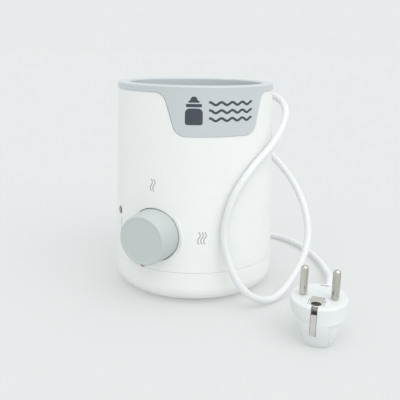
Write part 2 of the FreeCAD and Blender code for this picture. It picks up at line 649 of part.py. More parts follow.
def thermal_fuse(frame):
    level = f"({UNDER_SPREADER} - fuse_drop)"
    case = new_piece("thermal_fuse", frame)
    extrude(case, "-fuse_length / 2", "fuse_length", (circle, "fuse_y", level, "fuse_radius"),
            role="YZ_Plane")
    extrude(case, "-fuse_length / 2 - fuse_lead", "fuse_length + 2 * fuse_lead",
            (circle, "fuse_y", level, "0.5"), role="YZ_Plane")
    sleeve = new_piece("fuse_sleeve", frame)
    extrude(sleeve, "-fuse_length / 2 - 2", "fuse_length + 4",
            (circle, "fuse_y", level, "fuse_radius + sleeve_wall"),
            (circle, "fuse_y", level, "fuse_radius + 0.05"), role="YZ_Plane")
    clip = new_piece("fuse_clip", frame)
    inner, outer = "(fuse_radius + sleeve_wall + 0.05)", "(fuse_radius + sleeve_wall + 0.65)"
    foot = f"({UNDER_SPREADER} - 0.6)"
    extrude(clip, "-3", "6",
            (outline, (f"fuse_y - {outer}", UNDER_SPREADER), (f"fuse_y - {outer}", f"{level} - {outer}"),
             (f"fuse_y + {outer}", f"{level} - {outer}"), (f"fuse_y + {outer}", foot), ("fuse_y + 9", foot),
             ("fuse_y + 9", UNDER_SPREADER), (f"fuse_y + {inner}", UNDER_SPREADER),
             (f"fuse_y + {inner}", f"{level} - {inner}"), (f"fuse_y - {inner}", f"{level} - {inner}"),
             (f"fuse_y - {inner}", UNDER_SPREADER)), role="YZ_Plane")
    extrude(clip, f"{foot} - 1", "3", (circle, "0", "fuse_y + fuse_screw", "plate_hole"), kind="Pocket")
    screws("fuse_clip_screw", (("0", "fuse_y + fuse_screw"),), foot, "2.4", "1.6", "1.6",
           f"{UNDER_SPREADER} + 2.8", frame=frame)


def overheat_cutout(frame):
    body = new_piece("overheat_cutout", frame)
    extrude(body, f"{UNDER_SPREADER} - 1.5", "1.5", (circle, "cutout_x", "cutout_y", "8.2"))
    extrude(body, f"{UNDER_SPREADER} - 8", "6.6", (circle, "cutout_x", "cutout_y", "7.7"))
    extrude(body, f"{UNDER_SPREADER} - 15", "7.2",
            (box_outline, "cutout_x - 4.2", "cutout_y - 3", "cutout_x - 3.4", "cutout_y + 3"),
            (box_outline, "cutout_x + 3.4", "cutout_y - 3", "cutout_x + 4.2", "cutout_y + 3"))


# ---------------------------------------------------------------- heat control
def control_knob(frame):
    body = new_piece("control_knob", frame)
    bore = "(spindle_radius + running_gap)"
    under_face = "(knob_face - knob_dish - 2)"
    turn(body,
         (bore, "hub_end"), ("hub_radius", "hub_end"), ("hub_radius", under_face),
         ("knob_face_radius - knob_wall", under_face), ("knob_base_radius - knob_wall", "knob_base"),
         ("knob_base_radius", "knob_base"), ("knob_face_radius", "knob_face"),
         ("knob_face_radius - 1.6", "knob_face"), ("knob_face_radius - 2.2", "knob_face - knob_dish"),
         ("0", "knob_face - knob_dish"), ("0", "spindle_outer + 0.4"), (bore, "spindle_outer + 0.4"))
    round_edges(body, "knob_round", ring_edge("knob_face_radius", "knob_face"))
    ribs = extrude(body, "knob_rib_end", f"{under_face} - knob_rib_end + 0.5",
                   (box_outline, "hub_radius - 0.5", "-0.7", "knob_face_radius - 1.2", "0.7"))
    repeat(body, ribs, "4")
    extrude(body, "knob_face - 5", "6",
            (box_outline, "-notch_half", "-knob_base_radius - 1", "notch_half", "-knob_face_radius + 0.8"),
            kind="Pocket")


def spindle(frame):
    body = new_piece("thermostat_spindle", frame)
    extrude(body, "spindle_inner", "spindle_outer - spindle_inner", (circle, "0", "0", "spindle_radius"))
    round_edges(body, "0.4", ring_edge("spindle_radius", "spindle_outer"), kind="Chamfer")
    extrude(body, "hub_end", "spindle_outer - hub_end + 1", (box_outline, "-4", "flat_height", "4", "4"),
            kind="Pocket")
    clip = doc.addObject("PartDesign::Body", "clip_round")
    clip.Placement = frame
    extrude(clip, "hub_end + 1", "9", (circle, "0", "0", "spindle_radius + 0.01"))
    side = doc.addObject("PartDesign::Body", "clip_side")
    side.Placement = frame
    extrude(side, "hub_end + 1", "9", (box_outline, "-4", "flat_height + 0.05", "4", "4"))
    pieces.append(boolean("knob_clip", "Common", clip, side))


def spindle_bush(frame):
    body = new_piece("spindle_bush", frame)
    bore = "(spindle_radius + running_gap)"
    turn(body,
         (bore, "bush_inner"), ("bush_radius + 0.4", "bush_inner"),
         ("bush_radius + 0.4", "bracket_face - 1.6"), ("bush_radius + 2.2", "bracket_face - 1.6"),
         ("bush_radius + 2.2", "bracket_face"), ("bush_radius", "bracket_face"),
         ("bush_radius", "bush_outer"), (bore, "bush_outer"))
    nut = new_piece("bush_nut", frame)
    corners = [(f"nut_radius * cos({angle})", f"nut_radius * sin({angle})") for angle in range(15, 375, 60)]
    extrude(nut, "bracket_face + bracket_thick", "2.6", (outline, *corners),
            (circle, "0", "0", "bush_radius + 0.05"))


def push_pin(frame):
    body = new_piece("push_pin", frame)
    tip = "(leaf_level + leaf_thick + 0.3)"
    extrude(body, "pin_head", "1.8", (circle, "0", "0", "spindle_radius - 0.02"))
    extrude(body, tip, f"pin_head - {tip} + 0.2", (circle, "0", "0", "1.4"))


def thermostat_bracket(frame):
    body = new_piece("thermostat_bracket", frame)
    top = f"({UNDER_SPREADER} - knob_height)"
    extrude(body, "bracket_face", "bracket_thick",
            (box_outline, "-bracket_half", "-stack_drop - 6", "bracket_half", top))
    extrude(body, f"-{top}", "bracket_thick",
            (box_outline, "-bracket_half", "bracket_foot", "bracket_half", "bracket_face + bracket_thick"),
            role="XZ_Plane")
    extrude(body, "bracket_face - 1", "bracket_thick + 2",
            (circle, "0", "0", "bush_radius + 0.05"), (circle, "0", "-stack_drop", "rivet_radius + 0.05"),
            kind="Pocket")
    extrude(body, f"-{top} - 1", "bracket_thick + 2",
            (circle, "bracket_screw_x", "bracket_screw_y", "plate_hole"),
            (circle, "-bracket_screw_x", "bracket_screw_y", "plate_hole"), role="XZ_Plane", kind="Pocket")


def bracket_screws():
    """The two screws that hold the thermostat's bracket against the spreader."""
    places = [(f"{sign}bracket_screw_x", "-bracket_screw_y") for sign in ("", "-")]
    screws("bracket_screws", places, f"{UNDER_SPREADER} - bracket_thick", "2.5", "1.6", "1.6",
           f"{UNDER_SPREADER} + 2.8", frame=turned_frame("knob_azimuth"))


def contact_stack(frame):
    leaf_top = "(leaf_level + leaf_thick)"
    bimetal_top = "(bimetal_level + bimetal_thick)"
    first = "(bimetal_level - 5.5)"
    hole = (circle, "0", "-stack_drop", "rivet_radius + 0.05")
    for name, start, end in (("inner", first, "bimetal_level"), ("middle", bimetal_top, "leaf_level"),
                             ("outer", leaf_top, "bracket_face")):
        spacer = new_piece(f"ceramic_spacer_{name}", frame)
        extrude(spacer, start, f"{end} - {start}", (circle, "0", "-stack_drop", "stack_radius"), hole)
    rivet = new_piece("stack_rivet", frame)
    shank, head = ((circle, "0", "-stack_drop", radius) for radius in ("rivet_radius", "rivet_head"))
    extrude(rivet, first, f"bracket_face + bracket_thick - {first}", shank)
    extrude(rivet, f"{first} - 1.4", "1.4", head)
    extrude(rivet, "bracket_face + bracket_thick", "1.2", head)

    strip = new_piece("bimetal_strip", frame)
    extrude(strip, "bimetal_level", "bimetal_thick",
            (box_outline, "-bimetal_half", "-stack_drop - 9", "bimetal_half", "leaf_tip + 0.5"), hole)
    extrude(strip, "bimetal_level + bimetal_thick / 2",
            "leaf_level - 1.4 - contact_gap - bimetal_level - bimetal_thick / 2",
            (circle, "0", "contact_up", "contact_radius"))
    terminal = new_piece("leaf_terminal", frame)
    extrude(terminal, "leaf_level", "leaf_thick",
            (box_outline, "-leaf_half", "-stack_drop - 9", "leaf_half", "-leaf_root - 0.3"), hole)
    leaf = new_piece("contact_leaf", frame)
    extrude(leaf, "leaf_level", "leaf_thick",
            (box_outline, "-leaf_half", "-leaf_root", "leaf_half", "leaf_tip"))
    extrude(leaf, "leaf_level - 1.4", "1.5", (circle, "0", "contact_up", "contact_radius"))


# ---------------------------------------------------------------- indicator lamp
def indicator(frame):
    lens = new_piece("indicator_lens", frame)
    extrude(lens, "lens_face - 4", "4", (circle, "0", "0", "lens_radius"))
    round_edges(lens, "0.5", ring_edge("lens_radius", "lens_face"))
    extrude(lens, "lens_face - 4.4", "1.1", (circle, "0", "0", "lens_flange"))
    lamp = new_piece("indicator_lamp", frame)
    extrude(lamp, "43", "10", (circle, "0", "0", "2"))
    round_edges(lamp, "1.8", ring_edge("2", "53"))
    holder = new_piece("lamp_holder", frame)
    extrude(holder, "44", "8", (box_outline, "-3.4", "-3.4", "3.4", "3.4"), (circle, "0", "0", "2.05"))
    round_edges(holder, "1", upright)


# ---------------------------------------------------------------- mains lead
def rounded_route(points, share=0.45):
    """A wire of straight runs joined by tangent arcs, and the list of the arcs' radii.

    Each arc starts at that share of the shorter run beside its point.
    """
    edges, radii = [], []
    start = points[0]
    for before, corner, after in zip(points, points[1:], points[2:]):
        back, ahead = before - corner, after - corner
        reach = share * min(back.Length, ahead.Length)
        back.normalize()
        ahead.normalize()
        half_turn = (math.pi - back.getAngle(ahead)) / 2
        radius = reach / math.tan(half_turn)
        first, last = corner + back * reach, corner + ahead * reach
        middle = back + ahead
        middle.normalize()
        middle = corner + middle * (radius / math.cos(half_turn) - radius)
        edges += [Part.LineSegment(start, first).toShape(), Part.Arc(first, middle, last).toShape()]
        radii.append(radius)
        start = last
    edges.append(Part.LineSegment(start, points[-1]).toShape())
    return Part.Wire(edges), radii


def swept_tube(points, radius, share=0.45):
    """A round tube along a rounded route; its volume is compared with section times length."""
    path, radii = rounded_route(points, share)
    section = Part.Wire([Part.Circle(points[0], points[1] - points[0], radius).toShape()])
    tube = path.makePipeShell([section], True, False)
    expected = math.pi * radius ** 2 * path.Length
    if abs(tube.Volume - expected) > 0.01 * expected:
        raise ValueError(f"tube volume {tube.Volume:.1f} where {expected:.1f} is due")
    return tube, path.Length, radii


def vectors(points):
    return [FreeCAD.Vector(*point) for point in points]


def at(frame, x, y, z):
    """The place of a point that is given by formulas in a frame of its own."""
    return frame.multVec(FreeCAD.Vector(value(x), value(y), value(z)))


# Route of the free mains lead, from the strain relief to the plug's boot.
CORD_ROUTE = (
    (0, 82, 16), (0, 109, 16), (6, 128, 35), (16, 126, 65), (29, 105, 93), (45, 78, 116), (61, 50, 133),
    (71, 18, 137), (67, -16, 127), (46, -42, 109), (22, -57, 94), (7, -62, 74), (2, -62, 47), (11, -72, 17),
    (30, -70, 3), (51, -59, 3), (78, -44, 33), (80, -21, 64), (68, 5, 89), (53, 34, 102), (40, 62, 105),
    (24, 84, 91), (12, 98, 61), (14, 104, 28), (30, 98, 4), (55, 88, 3), (80, 74, 3), (101, 54, 3),
    (108, 26, 3), (106, -7, 3), (98, -38, 4),
)


def power_cord():
    """The free lead lies partly on the table and leans on the casing in two tall loops."""
    plug = turned_frame("plug_turn", "plug_x", "plug_y")
    route = vectors(CORD_ROUTE)
    route += [at(plug, "0", f"boot_end + {behind}", "boot_height") for behind in (16, 0)]
    tube, length, radii = swept_tube(route, value("cord_radius"))
    cord = doc.addObject("Part::Feature", "power_cord")
    cord.Shape = tube
    pieces.append(cord)
    print(f"power_cord: length {length:.0f} mm, radii {[round(radius) for radius in radii]}")


def cord_gland():
    """The rubber strain relief, turned round the lead, through the base's rear wall."""
    height = value("cord_height")
    along_y = FreeCAD.Rotation(FreeCAD.Vector(1, 0, 0), -90)
    frame = FreeCAD.Placement(FreeCAD.Vector(0, 0, height), along_y)
    body = new_piece("cord_gland", frame)
    turn(body,
         ("0", "gland_start"), ("gland_neck + 0.8", "gland_start"), ("gland_neck + 0.8", "gland_start + 1.8"),
         ("gland_neck", "gland_start + 1.8"), ("gland_neck", "gland_face"), ("gland_flange", "gland_face"),
         ("gland_flange", "gland_face + 1.6"), ("5.4", "gland_face + 2.4"),
         ("cord_radius + 1.1", "gland_end"), ("0", "gland_end"))
    groove_boot(body, "gland_face + 5.5", "3")
    inner = new_piece("inner_sheath", frame)
    extrude(inner, "clamp_y - 8", "gland_start - clamp_y + 8", (circle, "0", "0", "cord_radius"))


def groove_boot(body, first, pitch):
    """Five grooves round a strain relief that let it bend."""
    core = "cord_radius + groove_core"
    for number in range(5):
        low, high = (f"{first} + {number} * {pitch} {side} groove_half" for side in "-+")
        turn(body, (core, low), ("gland_flange", low), ("gland_flange", high), (core, high), kind="Groove")


def cord_clamp():
    bar = new_piece("cord_clamp")
    under = "(cord_height + cord_radius)"
    extrude(bar, under, "2.2", (box_outline, "-12", "clamp_y - clamp_half_y", "12", "clamp_y + clamp_half_y"))
    round_edges(bar, "2", upright)
    extrude(bar, f"{under} - 1", "5", *clamp_circles("plate_hole"), kind="Pocket")
    screws("cord_clamp_screws", (("clamp_screw_pitch", "clamp_y"), ("-clamp_screw_pitch", "clamp_y")),
           f"{under} + 2.2", "2.6", "1.7", "1.45", "base_bottom + base_floor + 3.5", up=False)


def terminal_block():
    body = new_piece("terminal_block")
    floor = "(base_bottom + base_floor)"
    places = [f"{side} * block_pitch" for side in (-1, 0, 1)]
    extrude(body, floor, "10",
            (box_outline, "-1.5 * block_pitch", "block_y - 6", "1.5 * block_pitch", "block_y + 6"))
    extrude(body, "-block_y - 7", "14", *((circle, x, f"{floor} + block_bore", "1.3") for x in places),
            role="XZ_Plane", kind="Pocket")
    extrude(body, f"{floor} + 6.5", "4", *((circle, x, "block_y", "2") for x in places), kind="Pocket")
    screws("terminal_screws", [(x, "block_y") for x in places], f"{floor} + 9.4", "1.9", "1.4", "1.1",
           f"{floor} + 6.6", up=False)


def wires():
    """Inner wires: three from the sheath to the block, then one to each place that it feeds."""
    level, sheath_end = value("base_bottom + base_floor + block_bore"), value("clamp_y - 8")
    pitch, block_y, cord_height = value("block_pitch"), value("block_y"), value("cord_height")
    group = []
    for side in (-1, 0, 1):
        x, spread = side * pitch, side * 1.3
        route = ((spread, sheath_end, cord_height), (spread, sheath_end - 4, cord_height),
                 (x * 0.8, block_y + 11, cord_height - 4), (x, block_y + 9, level), (x, block_y + 2.5, level))
        group.append(swept_tube(vectors(route), value("core_radius"), 0.4)[0])
    leads = doc.addObject("Part::Feature", "mains_wires")
    leads.Shape = Part.makeCompound(group)
    pieces.append(leads)

    knob, under = frame_at("knob_azimuth", "knob_height"), turned_frame("knob_azimuth")
    tab_y, lug_y = "-stack_drop - 9", "heater_half_y + 8"
    leaf_tab = at(knob, "0", tab_y, "leaf_level + leaf_thick / 2")
    strip_tab = at(knob, "0", tab_y, "bimetal_level + bimetal_thick / 2")
    left_lug, right_lug = (at(under, x, lug_y, f"{UNDER_HEATER} + 2") for x in ("-7", "7"))
    fuse_left, fuse_right = (at(under, f"{sign}(fuse_length / 2 + fuse_lead)", "fuse_y",
                                f"{UNDER_SPREADER} - fuse_drop") for sign in ("-", ""))
    live = FreeCAD.Vector(-pitch, block_y - 2.5, level)
    neutral = FreeCAD.Vector(0, block_y - 2.5, level)
    forward, left = FreeCAD.Vector(0, -1, 0), FreeCAD.Vector(-1, 0, 0)
    down = FreeCAD.Vector(0, 0, -1)
    routes = {
        "live_wire": (live, live + forward * 9.5, live + forward * 25.5 + left * 6 - down,
                      leaf_tab + down * 10, leaf_tab + down * 0.2),
        "switched_wire": (strip_tab + down * 0.2, strip_tab + down * 8, FreeCAD.Vector(-4, -4, 24),
                          FreeCAD.Vector(8, 16, 34), fuse_left + down * 12, fuse_left + down * 0.6),
        "heater_wire": (fuse_right + down * 0.6, fuse_right + down * 8, right_lug + FreeCAD.Vector(5, 4, -9),
                        right_lug + down * 0.6),
        "neutral_wire": (neutral, neutral + forward * 9.5 - down,
                         neutral + forward * 7.5 + left * 6 - down * 17,
                         left_lug + down * 14, left_lug + down * 0.6),
    }
    for label, route in routes.items():
        wire = doc.addObject("Part::Feature", label)
        wire.Shape = swept_tube(route, value("wire_radius"), 0.4)[0]
        pieces.append(wire)


# ---------------------------------------------------------------- plug
def plug():
    frame = turned_frame("plug_turn", "plug_x", "plug_y")
    body = new_piece("plug_body", frame)
    neck = "(plug_face - plug_head)"
    pins = [(f"{sign}pin_pitch_half", "0") for sign in ("-", "")]
    turn(body, ("0", neck), ("plug_radius - 2.6", neck), ("plug_radius", f"{neck} + 2.6"),
         ("plug_radius", "plug_face"), ("0", "plug_face"))
    round_edges(body, "1.2", ring_edge("plug_radius", "plug_face"))
    low = sketch_in(body, "XY_Plane", "0")
    box_outline(low, "-grip_low_half", "-13", "grip_low_half", "12")
    high = sketch_in(body, "XY_Plane", f"{neck} + 1")
    box_outline(high, "-grip_high_half", "-16", "grip_high_half", "15")
    grip = body.newObject("PartDesign::AdditiveLoft", "plug_grip")
    grip.Profile = low
    grip.Sections = [high]
    grip.Ruled = True
    doc.recompute()
    round_edges(body, "3.5", lambda edge: edge.BoundBox.ZMin < 0.01 and edge.BoundBox.ZLength > 10)
    round_edges(body, "1.5", lambda edge: edge.BoundBox.ZMax < 0.01)
    extrude(body, "-boot_start", "16", (circle, "0", "boot_height", "7.2"), role="XZ_Plane")
    extrude(body, "plug_face - 0.2", "pin_collar + 0.2", *((circle, x, y, "pin_radius") for x, y in pins))
    extrude(body, "plug_face - pin_depth", "pin_depth + pin_collar",
            *((circle, x, y, "pin_root + 0.02") for x, y in pins), kind="Pocket")
    half, inner = "strip_half + 0.2", "plug_radius - strip_slot"
    extrude(body, "9", "plug_face - 9 + 1",
            (box_outline, f"-({half})", "-plug_radius - 1", half, f"-({inner})"),
            (box_outline, f"-({half})", inner, half, "plug_radius + 1"), kind="Pocket")
    plate = (box_outline, "-socket_plate - 0.1", "socket_y - socket_plate - 0.1", "socket_plate + 0.1",
             "socket_y + socket_plate + 0.1")
    extrude(body, "plug_face - 0.6", "2", plate, kind="Pocket")
    extrude(body, "plug_face - 14", "16", (circle, "0", "socket_y", "socket_radius + 0.65"), kind="Pocket")

    for side, (x, y) in zip(("left", "right"), pins):
        pin = new_piece(f"plug_pin_{side}", frame)
        extrude(pin, "plug_face - pin_depth", "pin_depth + pin_length", (circle, x, y, "pin_root"))
        extrude(pin, "plug_face + pin_collar", "pin_length - pin_collar", (circle, x, y, "pin_radius"))
        round_edges(pin, "pin_radius - 0.05",
                    lambda edge: edge.BoundBox.ZMin > value("plug_face + pin_length") - 0.1)
    socket = new_piece("plug_earth_socket", frame)
    extrude(socket, "plug_face - 0.6", "0.8",
            (box_outline, "-socket_plate", "socket_y - socket_plate",
             "socket_plate", "socket_y + socket_plate"))
    extrude(socket, "plug_face - 13.5", "13.5", (circle, "0", "socket_y", "socket_radius + 0.6"))
    extrude(socket, "plug_face - 12.5", "14", (circle, "0", "socket_y", "socket_radius"), kind="Pocket")
    for side, near, far, low_end in (("front", "0.2 - plug_radius", "1.1 - plug_radius", "10.5"),
                                     ("rear", "plug_radius - 1.1", "plug_radius - 0.2", "20.2")):
        strip = new_piece(f"plug_earth_strip_{side}", frame)
        extrude(strip, low_end, f"plug_face - 0.8 - {low_end}",
                (box_outline, "-strip_half", near, "strip_half", far))

    along_rear = FreeCAD.Placement(FreeCAD.Vector(0, 0, value("boot_height")),
                                   FreeCAD.Rotation(FreeCAD.Vector(1, 0, 0), -90))
    boot = new_piece("plug_strain_relief", frame.multiply(along_rear))
    turn(boot, ("0", "boot_start"), ("5.6", "boot_start"), ("cord_radius + 1", "boot_end"), ("0", "boot_end"))
    groove_boot(boot, "boot_start + 3.5", "3.4")


# ---------------------------------------------------------------- building and writing
def build():
    outer_shell()
    base_cover()
    foot_ring()
    base_screws()
    top_collar()
    water_well()
    well_gasket()
    well_carrier()
    underside = turned_frame("knob_azimuth")
    heat_spreader(underside)
    heater(underside)
    thermal_fuse(underside)
    overheat_cutout(underside)
    knob_frame = frame_at("knob_azimuth", "knob_height")
    control_knob(knob_frame)
    spindle(knob_frame)
    spindle_bush(knob_frame)
    push_pin(knob_frame)
    thermostat_bracket(knob_frame)
    bracket_screws()
    contact_stack(knob_frame)
    indicator(frame_at("lens_azimuth", "lens_height"))
    power_cord()
    cord_gland()
    cord_clamp()
    terminal_block()
    wires()
    plug()


def check_and_write():
    doc.recompute()
    failed = [item.Label for item in doc.Objects if "Invalid" in item.State or "Error" in item.State]
    if failed:
        raise ValueError(f"failed objects: {failed}")
    labels = [item.Label for item in pieces]
    if len(set(labels)) != len(labels):
        raise ValueError("two sub-parts share a label")
    for item in pieces:
        if item.Shape.isNull() or not item.Shape.isValid() or not item.Shape.Solids:
            raise ValueError(f"{item.Label} has no valid solid")
    os.makedirs("parts", exist_ok=True)
    for item in pieces:
        item.Shape.exportStep(f"parts/{item.Label}.step")
    print(f"{len(pieces)} sub-parts written")


build()
check_and_write()
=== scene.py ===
import json
import math
import bmesh
import bpy
from mathutils import Matrix, Vector


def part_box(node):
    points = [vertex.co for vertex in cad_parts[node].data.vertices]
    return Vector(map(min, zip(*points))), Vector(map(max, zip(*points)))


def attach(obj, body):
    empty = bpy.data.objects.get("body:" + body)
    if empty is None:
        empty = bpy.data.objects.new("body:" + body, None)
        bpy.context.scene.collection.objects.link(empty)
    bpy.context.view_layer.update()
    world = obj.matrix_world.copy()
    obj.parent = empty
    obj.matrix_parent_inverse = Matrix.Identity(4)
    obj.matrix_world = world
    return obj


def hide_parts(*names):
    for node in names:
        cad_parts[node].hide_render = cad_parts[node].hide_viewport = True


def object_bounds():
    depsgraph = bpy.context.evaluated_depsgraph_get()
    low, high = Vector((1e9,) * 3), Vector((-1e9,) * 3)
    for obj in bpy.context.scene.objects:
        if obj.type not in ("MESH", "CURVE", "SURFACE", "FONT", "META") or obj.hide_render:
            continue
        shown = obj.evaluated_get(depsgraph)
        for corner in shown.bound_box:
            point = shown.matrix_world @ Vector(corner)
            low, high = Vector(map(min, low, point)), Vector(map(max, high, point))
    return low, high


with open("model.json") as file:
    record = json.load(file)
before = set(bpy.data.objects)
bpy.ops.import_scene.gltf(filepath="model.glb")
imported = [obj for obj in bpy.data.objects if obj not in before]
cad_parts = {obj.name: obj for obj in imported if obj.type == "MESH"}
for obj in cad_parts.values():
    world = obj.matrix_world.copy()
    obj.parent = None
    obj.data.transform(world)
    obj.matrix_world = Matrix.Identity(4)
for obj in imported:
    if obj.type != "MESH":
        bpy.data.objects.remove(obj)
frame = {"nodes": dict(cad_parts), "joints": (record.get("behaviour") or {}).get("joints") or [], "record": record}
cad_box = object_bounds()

MM = 0.001
UP = Vector((0, 0, 1))
NODES = frame["nodes"]
SLOTS = {part["node"]: part["material_slot"] for part in frame["record"]["subparts"]}


def link(item):
    """Put a new object into the scene."""
    bpy.context.scene.collection.objects.link(item)
    return item


def middle(node):
    """The middle of a CAD node's box at rest."""
    low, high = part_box(node)
    return (low + high) / 2


# ---------------------------------------------------------------- camera, light and floor
CAMERA_PLACE = Vector((-0.1069, -0.3855, 0.1695))
CAMERA_HEADING, CAMERA_PITCH, CAMERA_ROLL = -16.12, 15.38, 0.88      # degrees
CAMERA_LENS, SENSOR_WIDTH = 49.0, 36                                # millimetres
CLIP_START, CLIP_END = 0.01, 60
BACKGROUND = (0.80, 0.832, 0.84)                                    # linear light of the plain background
# Each sun's name, the direction that it comes from, its strength and its width in degrees.
SUNS = (("key", (0.40, -0.70, 0.75), 0.58, 50),
        ("fill", (-0.50, -0.65, 0.55), 0.20, 80),
        ("top", (0.10, -0.30, 1.00), 0.80, 70))
SUN_DISTANCE = 2
FLOOR_REACH = 30                                                    # from the origin to each edge
FLOOR_COLOUR, FLOOR_GLOW_COLOUR, FLOOR_GLOW = (0.395, 0.398, 0.398), (0.955, 1, 0.988), 0.345


def make_camera():
    """The camera, turned by its heading, then down by its pitch and round its own line by its roll."""
    heading, pitch, roll = (math.radians(angle) for angle in (CAMERA_HEADING, CAMERA_PITCH, CAMERA_ROLL))
    right = Vector((math.cos(heading), math.sin(heading), 0))
    ahead = Vector((-math.sin(heading), math.cos(heading), 0))
    look = ahead * math.cos(pitch) - UP * math.sin(pitch)
    top = ahead * math.sin(pitch) + UP * math.cos(pitch)
    side = right * math.cos(roll) + top * math.sin(roll)
    top = top * math.cos(roll) - right * math.sin(roll)
    data = bpy.data.cameras.new("camera")
    data.lens = CAMERA_LENS
    data.sensor_width = SENSOR_WIDTH
    data.clip_start, data.clip_end = CLIP_START, CLIP_END
    camera = link(bpy.data.objects.new("camera", data))
    camera.matrix_world = Matrix((side, top, -look)).transposed().to_4x4()
    camera.location = CAMERA_PLACE
    bpy.context.scene.camera = camera


def soft_sun(name, towards, strength, spread):
    """A wide light that comes from a direction and lights the whole floor alike."""
    data = bpy.data.lights.new(name, "SUN")
    data.energy = strength
    data.angle = math.radians(spread)
    lamp = link(bpy.data.objects.new(name, data))
    lamp.location = Vector(towards).normalized() * SUN_DISTANCE
    lamp.rotation_euler = (-Vector(towards)).to_track_quat("-Z", "Y").to_euler()


def make_studio(floor_material):
    """The plain background, the soft suns and the floor."""
    scene = bpy.context.scene
    scene.view_settings.view_transform = "Standard"
    world = bpy.data.worlds.new("studio")
    world.use_nodes = True
    backdrop = world.node_tree.nodes["Background"]
    backdrop.inputs["Color"].default_value = (*BACKGROUND, 1)
    backdrop.inputs["Strength"].default_value = 1
    scene.world = world
    for sun in SUNS:
        soft_sun(*sun)
    mesh = bpy.data.meshes.new("floor")
    corners = [(x * FLOOR_REACH, y * FLOOR_REACH, 0) for x, y in ((-1, -1), (1, -1), (1, 1), (-1, 1))]
    mesh.from_pydata(corners, [], [(0, 1, 2, 3)])
    floor = link(bpy.data.objects.new("floor", mesh))
    floor.data.materials.append(floor_material)


# ---------------------------------------------------------------- materials
def start(name):
    """A new material, with its node tree and its shader."""
    material = bpy.data.materials.new(name)
    material.use_nodes = True
    tree = material.node_tree
    return material, tree, tree.nodes["Principled BSDF"]


def own_place(tree):
    """The object's own coordinates, in metres."""
    return tree.nodes.new("ShaderNodeTexCoord").outputs["Object"]


def stretched(tree, scale):
    """The object's own coordinates, scaled along each axis."""
    made = tree.nodes.new("ShaderNodeMapping")
    made.inputs["Scale"].default_value = scale
    tree.links.new(own_place(tree), made.inputs["Vector"])
    return made.outputs["Vector"]


def round_axis(tree):
    """Distance from the well's axis and height, so that a texture over them runs in circles."""
    apart = tree.nodes.new("ShaderNodeSeparateXYZ")
    flat, together = (tree.nodes.new("ShaderNodeCombineXYZ") for _ in range(2))
    length = tree.nodes.new("ShaderNodeVectorMath")
    length.operation = "LENGTH"
    tree.links.new(own_place(tree), apart.inputs[0])
    tree.links.new(apart.outputs["X"], flat.inputs["X"])
    tree.links.new(apart.outputs["Y"], flat.inputs["Y"])
    tree.links.new(flat.outputs[0], length.inputs[0])
    tree.links.new(length.outputs["Value"], together.inputs["X"])
    tree.links.new(apart.outputs["Z"], together.inputs["Y"])
    return together.outputs[0]


def noise(tree, scale, detail=3.0, place=None):
    """A noise texture; scale is in cells per metre of place, which is the object's own unless given."""
    made = tree.nodes.new("ShaderNodeTexNoise")
    made.inputs["Scale"].default_value = scale
    made.inputs["Detail"].default_value = detail
    made.inputs["Roughness"].default_value = 0.55
    tree.links.new(place or own_place(tree), made.inputs["Vector"])
    return made.outputs["Fac"]


def cells(tree, scale):
    """Distance from the middle of the nearest of many irregular cells; scale is in cells per metre."""
    made = tree.nodes.new("ShaderNodeTexVoronoi")
    made.inputs["Scale"].default_value = scale
    tree.links.new(own_place(tree), made.inputs["Vector"])
    return made.outputs["Distance"]


def ranged(tree, source, low, high, from_low=0.3, from_high=0.7):
    """A source spread over low to high; noise mostly lies between the two ends given as defaults."""
    made = tree.nodes.new("ShaderNodeMapRange")
    made.inputs["From Min"].default_value = from_low
    made.inputs["From Max"].default_value = from_high
    made.inputs["To Min"].default_value = low
    made.inputs["To Max"].default_value = high
    tree.links.new(source, made.inputs["Value"])
    return made.outputs["Result"]


def two_tones(tree, source, first, second):
    """A colour from the first to the second one, as a source goes from 0 to 1."""
    made = tree.nodes.new("ShaderNodeMix")
    made.data_type = "RGBA"
    made.inputs["A"].default_value = (*first, 1)
    made.inputs["B"].default_value = (*second, 1)
    tree.links.new(source, made.inputs["Factor"])
    return made.outputs["Result"]


def bump(tree, shader, height, strength, distance):
    """Relief on a shader from a texture's height; distance is what a height of 1 stands for."""
    made = tree.nodes.new("ShaderNodeBump")
    made.inputs["Strength"].default_value = strength
    made.inputs["Distance"].default_value = distance
    tree.links.new(height, made.inputs["Height"])
    tree.links.new(made.outputs["Normal"], shader.inputs["Normal"])


def shaded(colour, factor):
    """A colour made darker or lighter by a factor."""
    return tuple(min(1.0, part * factor) for part in colour)


def moulded(name, colour, roughness, grain=0.12, mottle=0.012, grain_scale=2600, coat=0.0, depth=0.0):
    """Moulded plastic or rubber: faint flow marks, a fine spark-eroded grain and slightly uneven gloss."""
    material, tree, shader = start(name)
    flow = ranged(tree, noise(tree, 28, 2), 0, 1)
    tones = two_tones(tree, flow, shaded(colour, 1 - mottle), shaded(colour, 1 + mottle))
    tree.links.new(tones, shader.inputs["Base Color"])
    gloss = ranged(tree, noise(tree, 140, 4), roughness - 0.04, roughness + 0.04)
    tree.links.new(gloss, shader.inputs["Roughness"])
    bump(tree, shader, noise(tree, grain_scale, 2), grain, 0.02 * MM)
    shader.inputs["Coat Weight"].default_value = coat
    shader.inputs["Coat Roughness"].default_value = 0.15
    if depth:
        shader.inputs["Subsurface Weight"].default_value = depth
        shader.inputs["Subsurface Radius"].default_value = (1.5, 1.4, 1.3)
        shader.inputs["Subsurface Scale"].default_value = 0.8 * MM
    return material


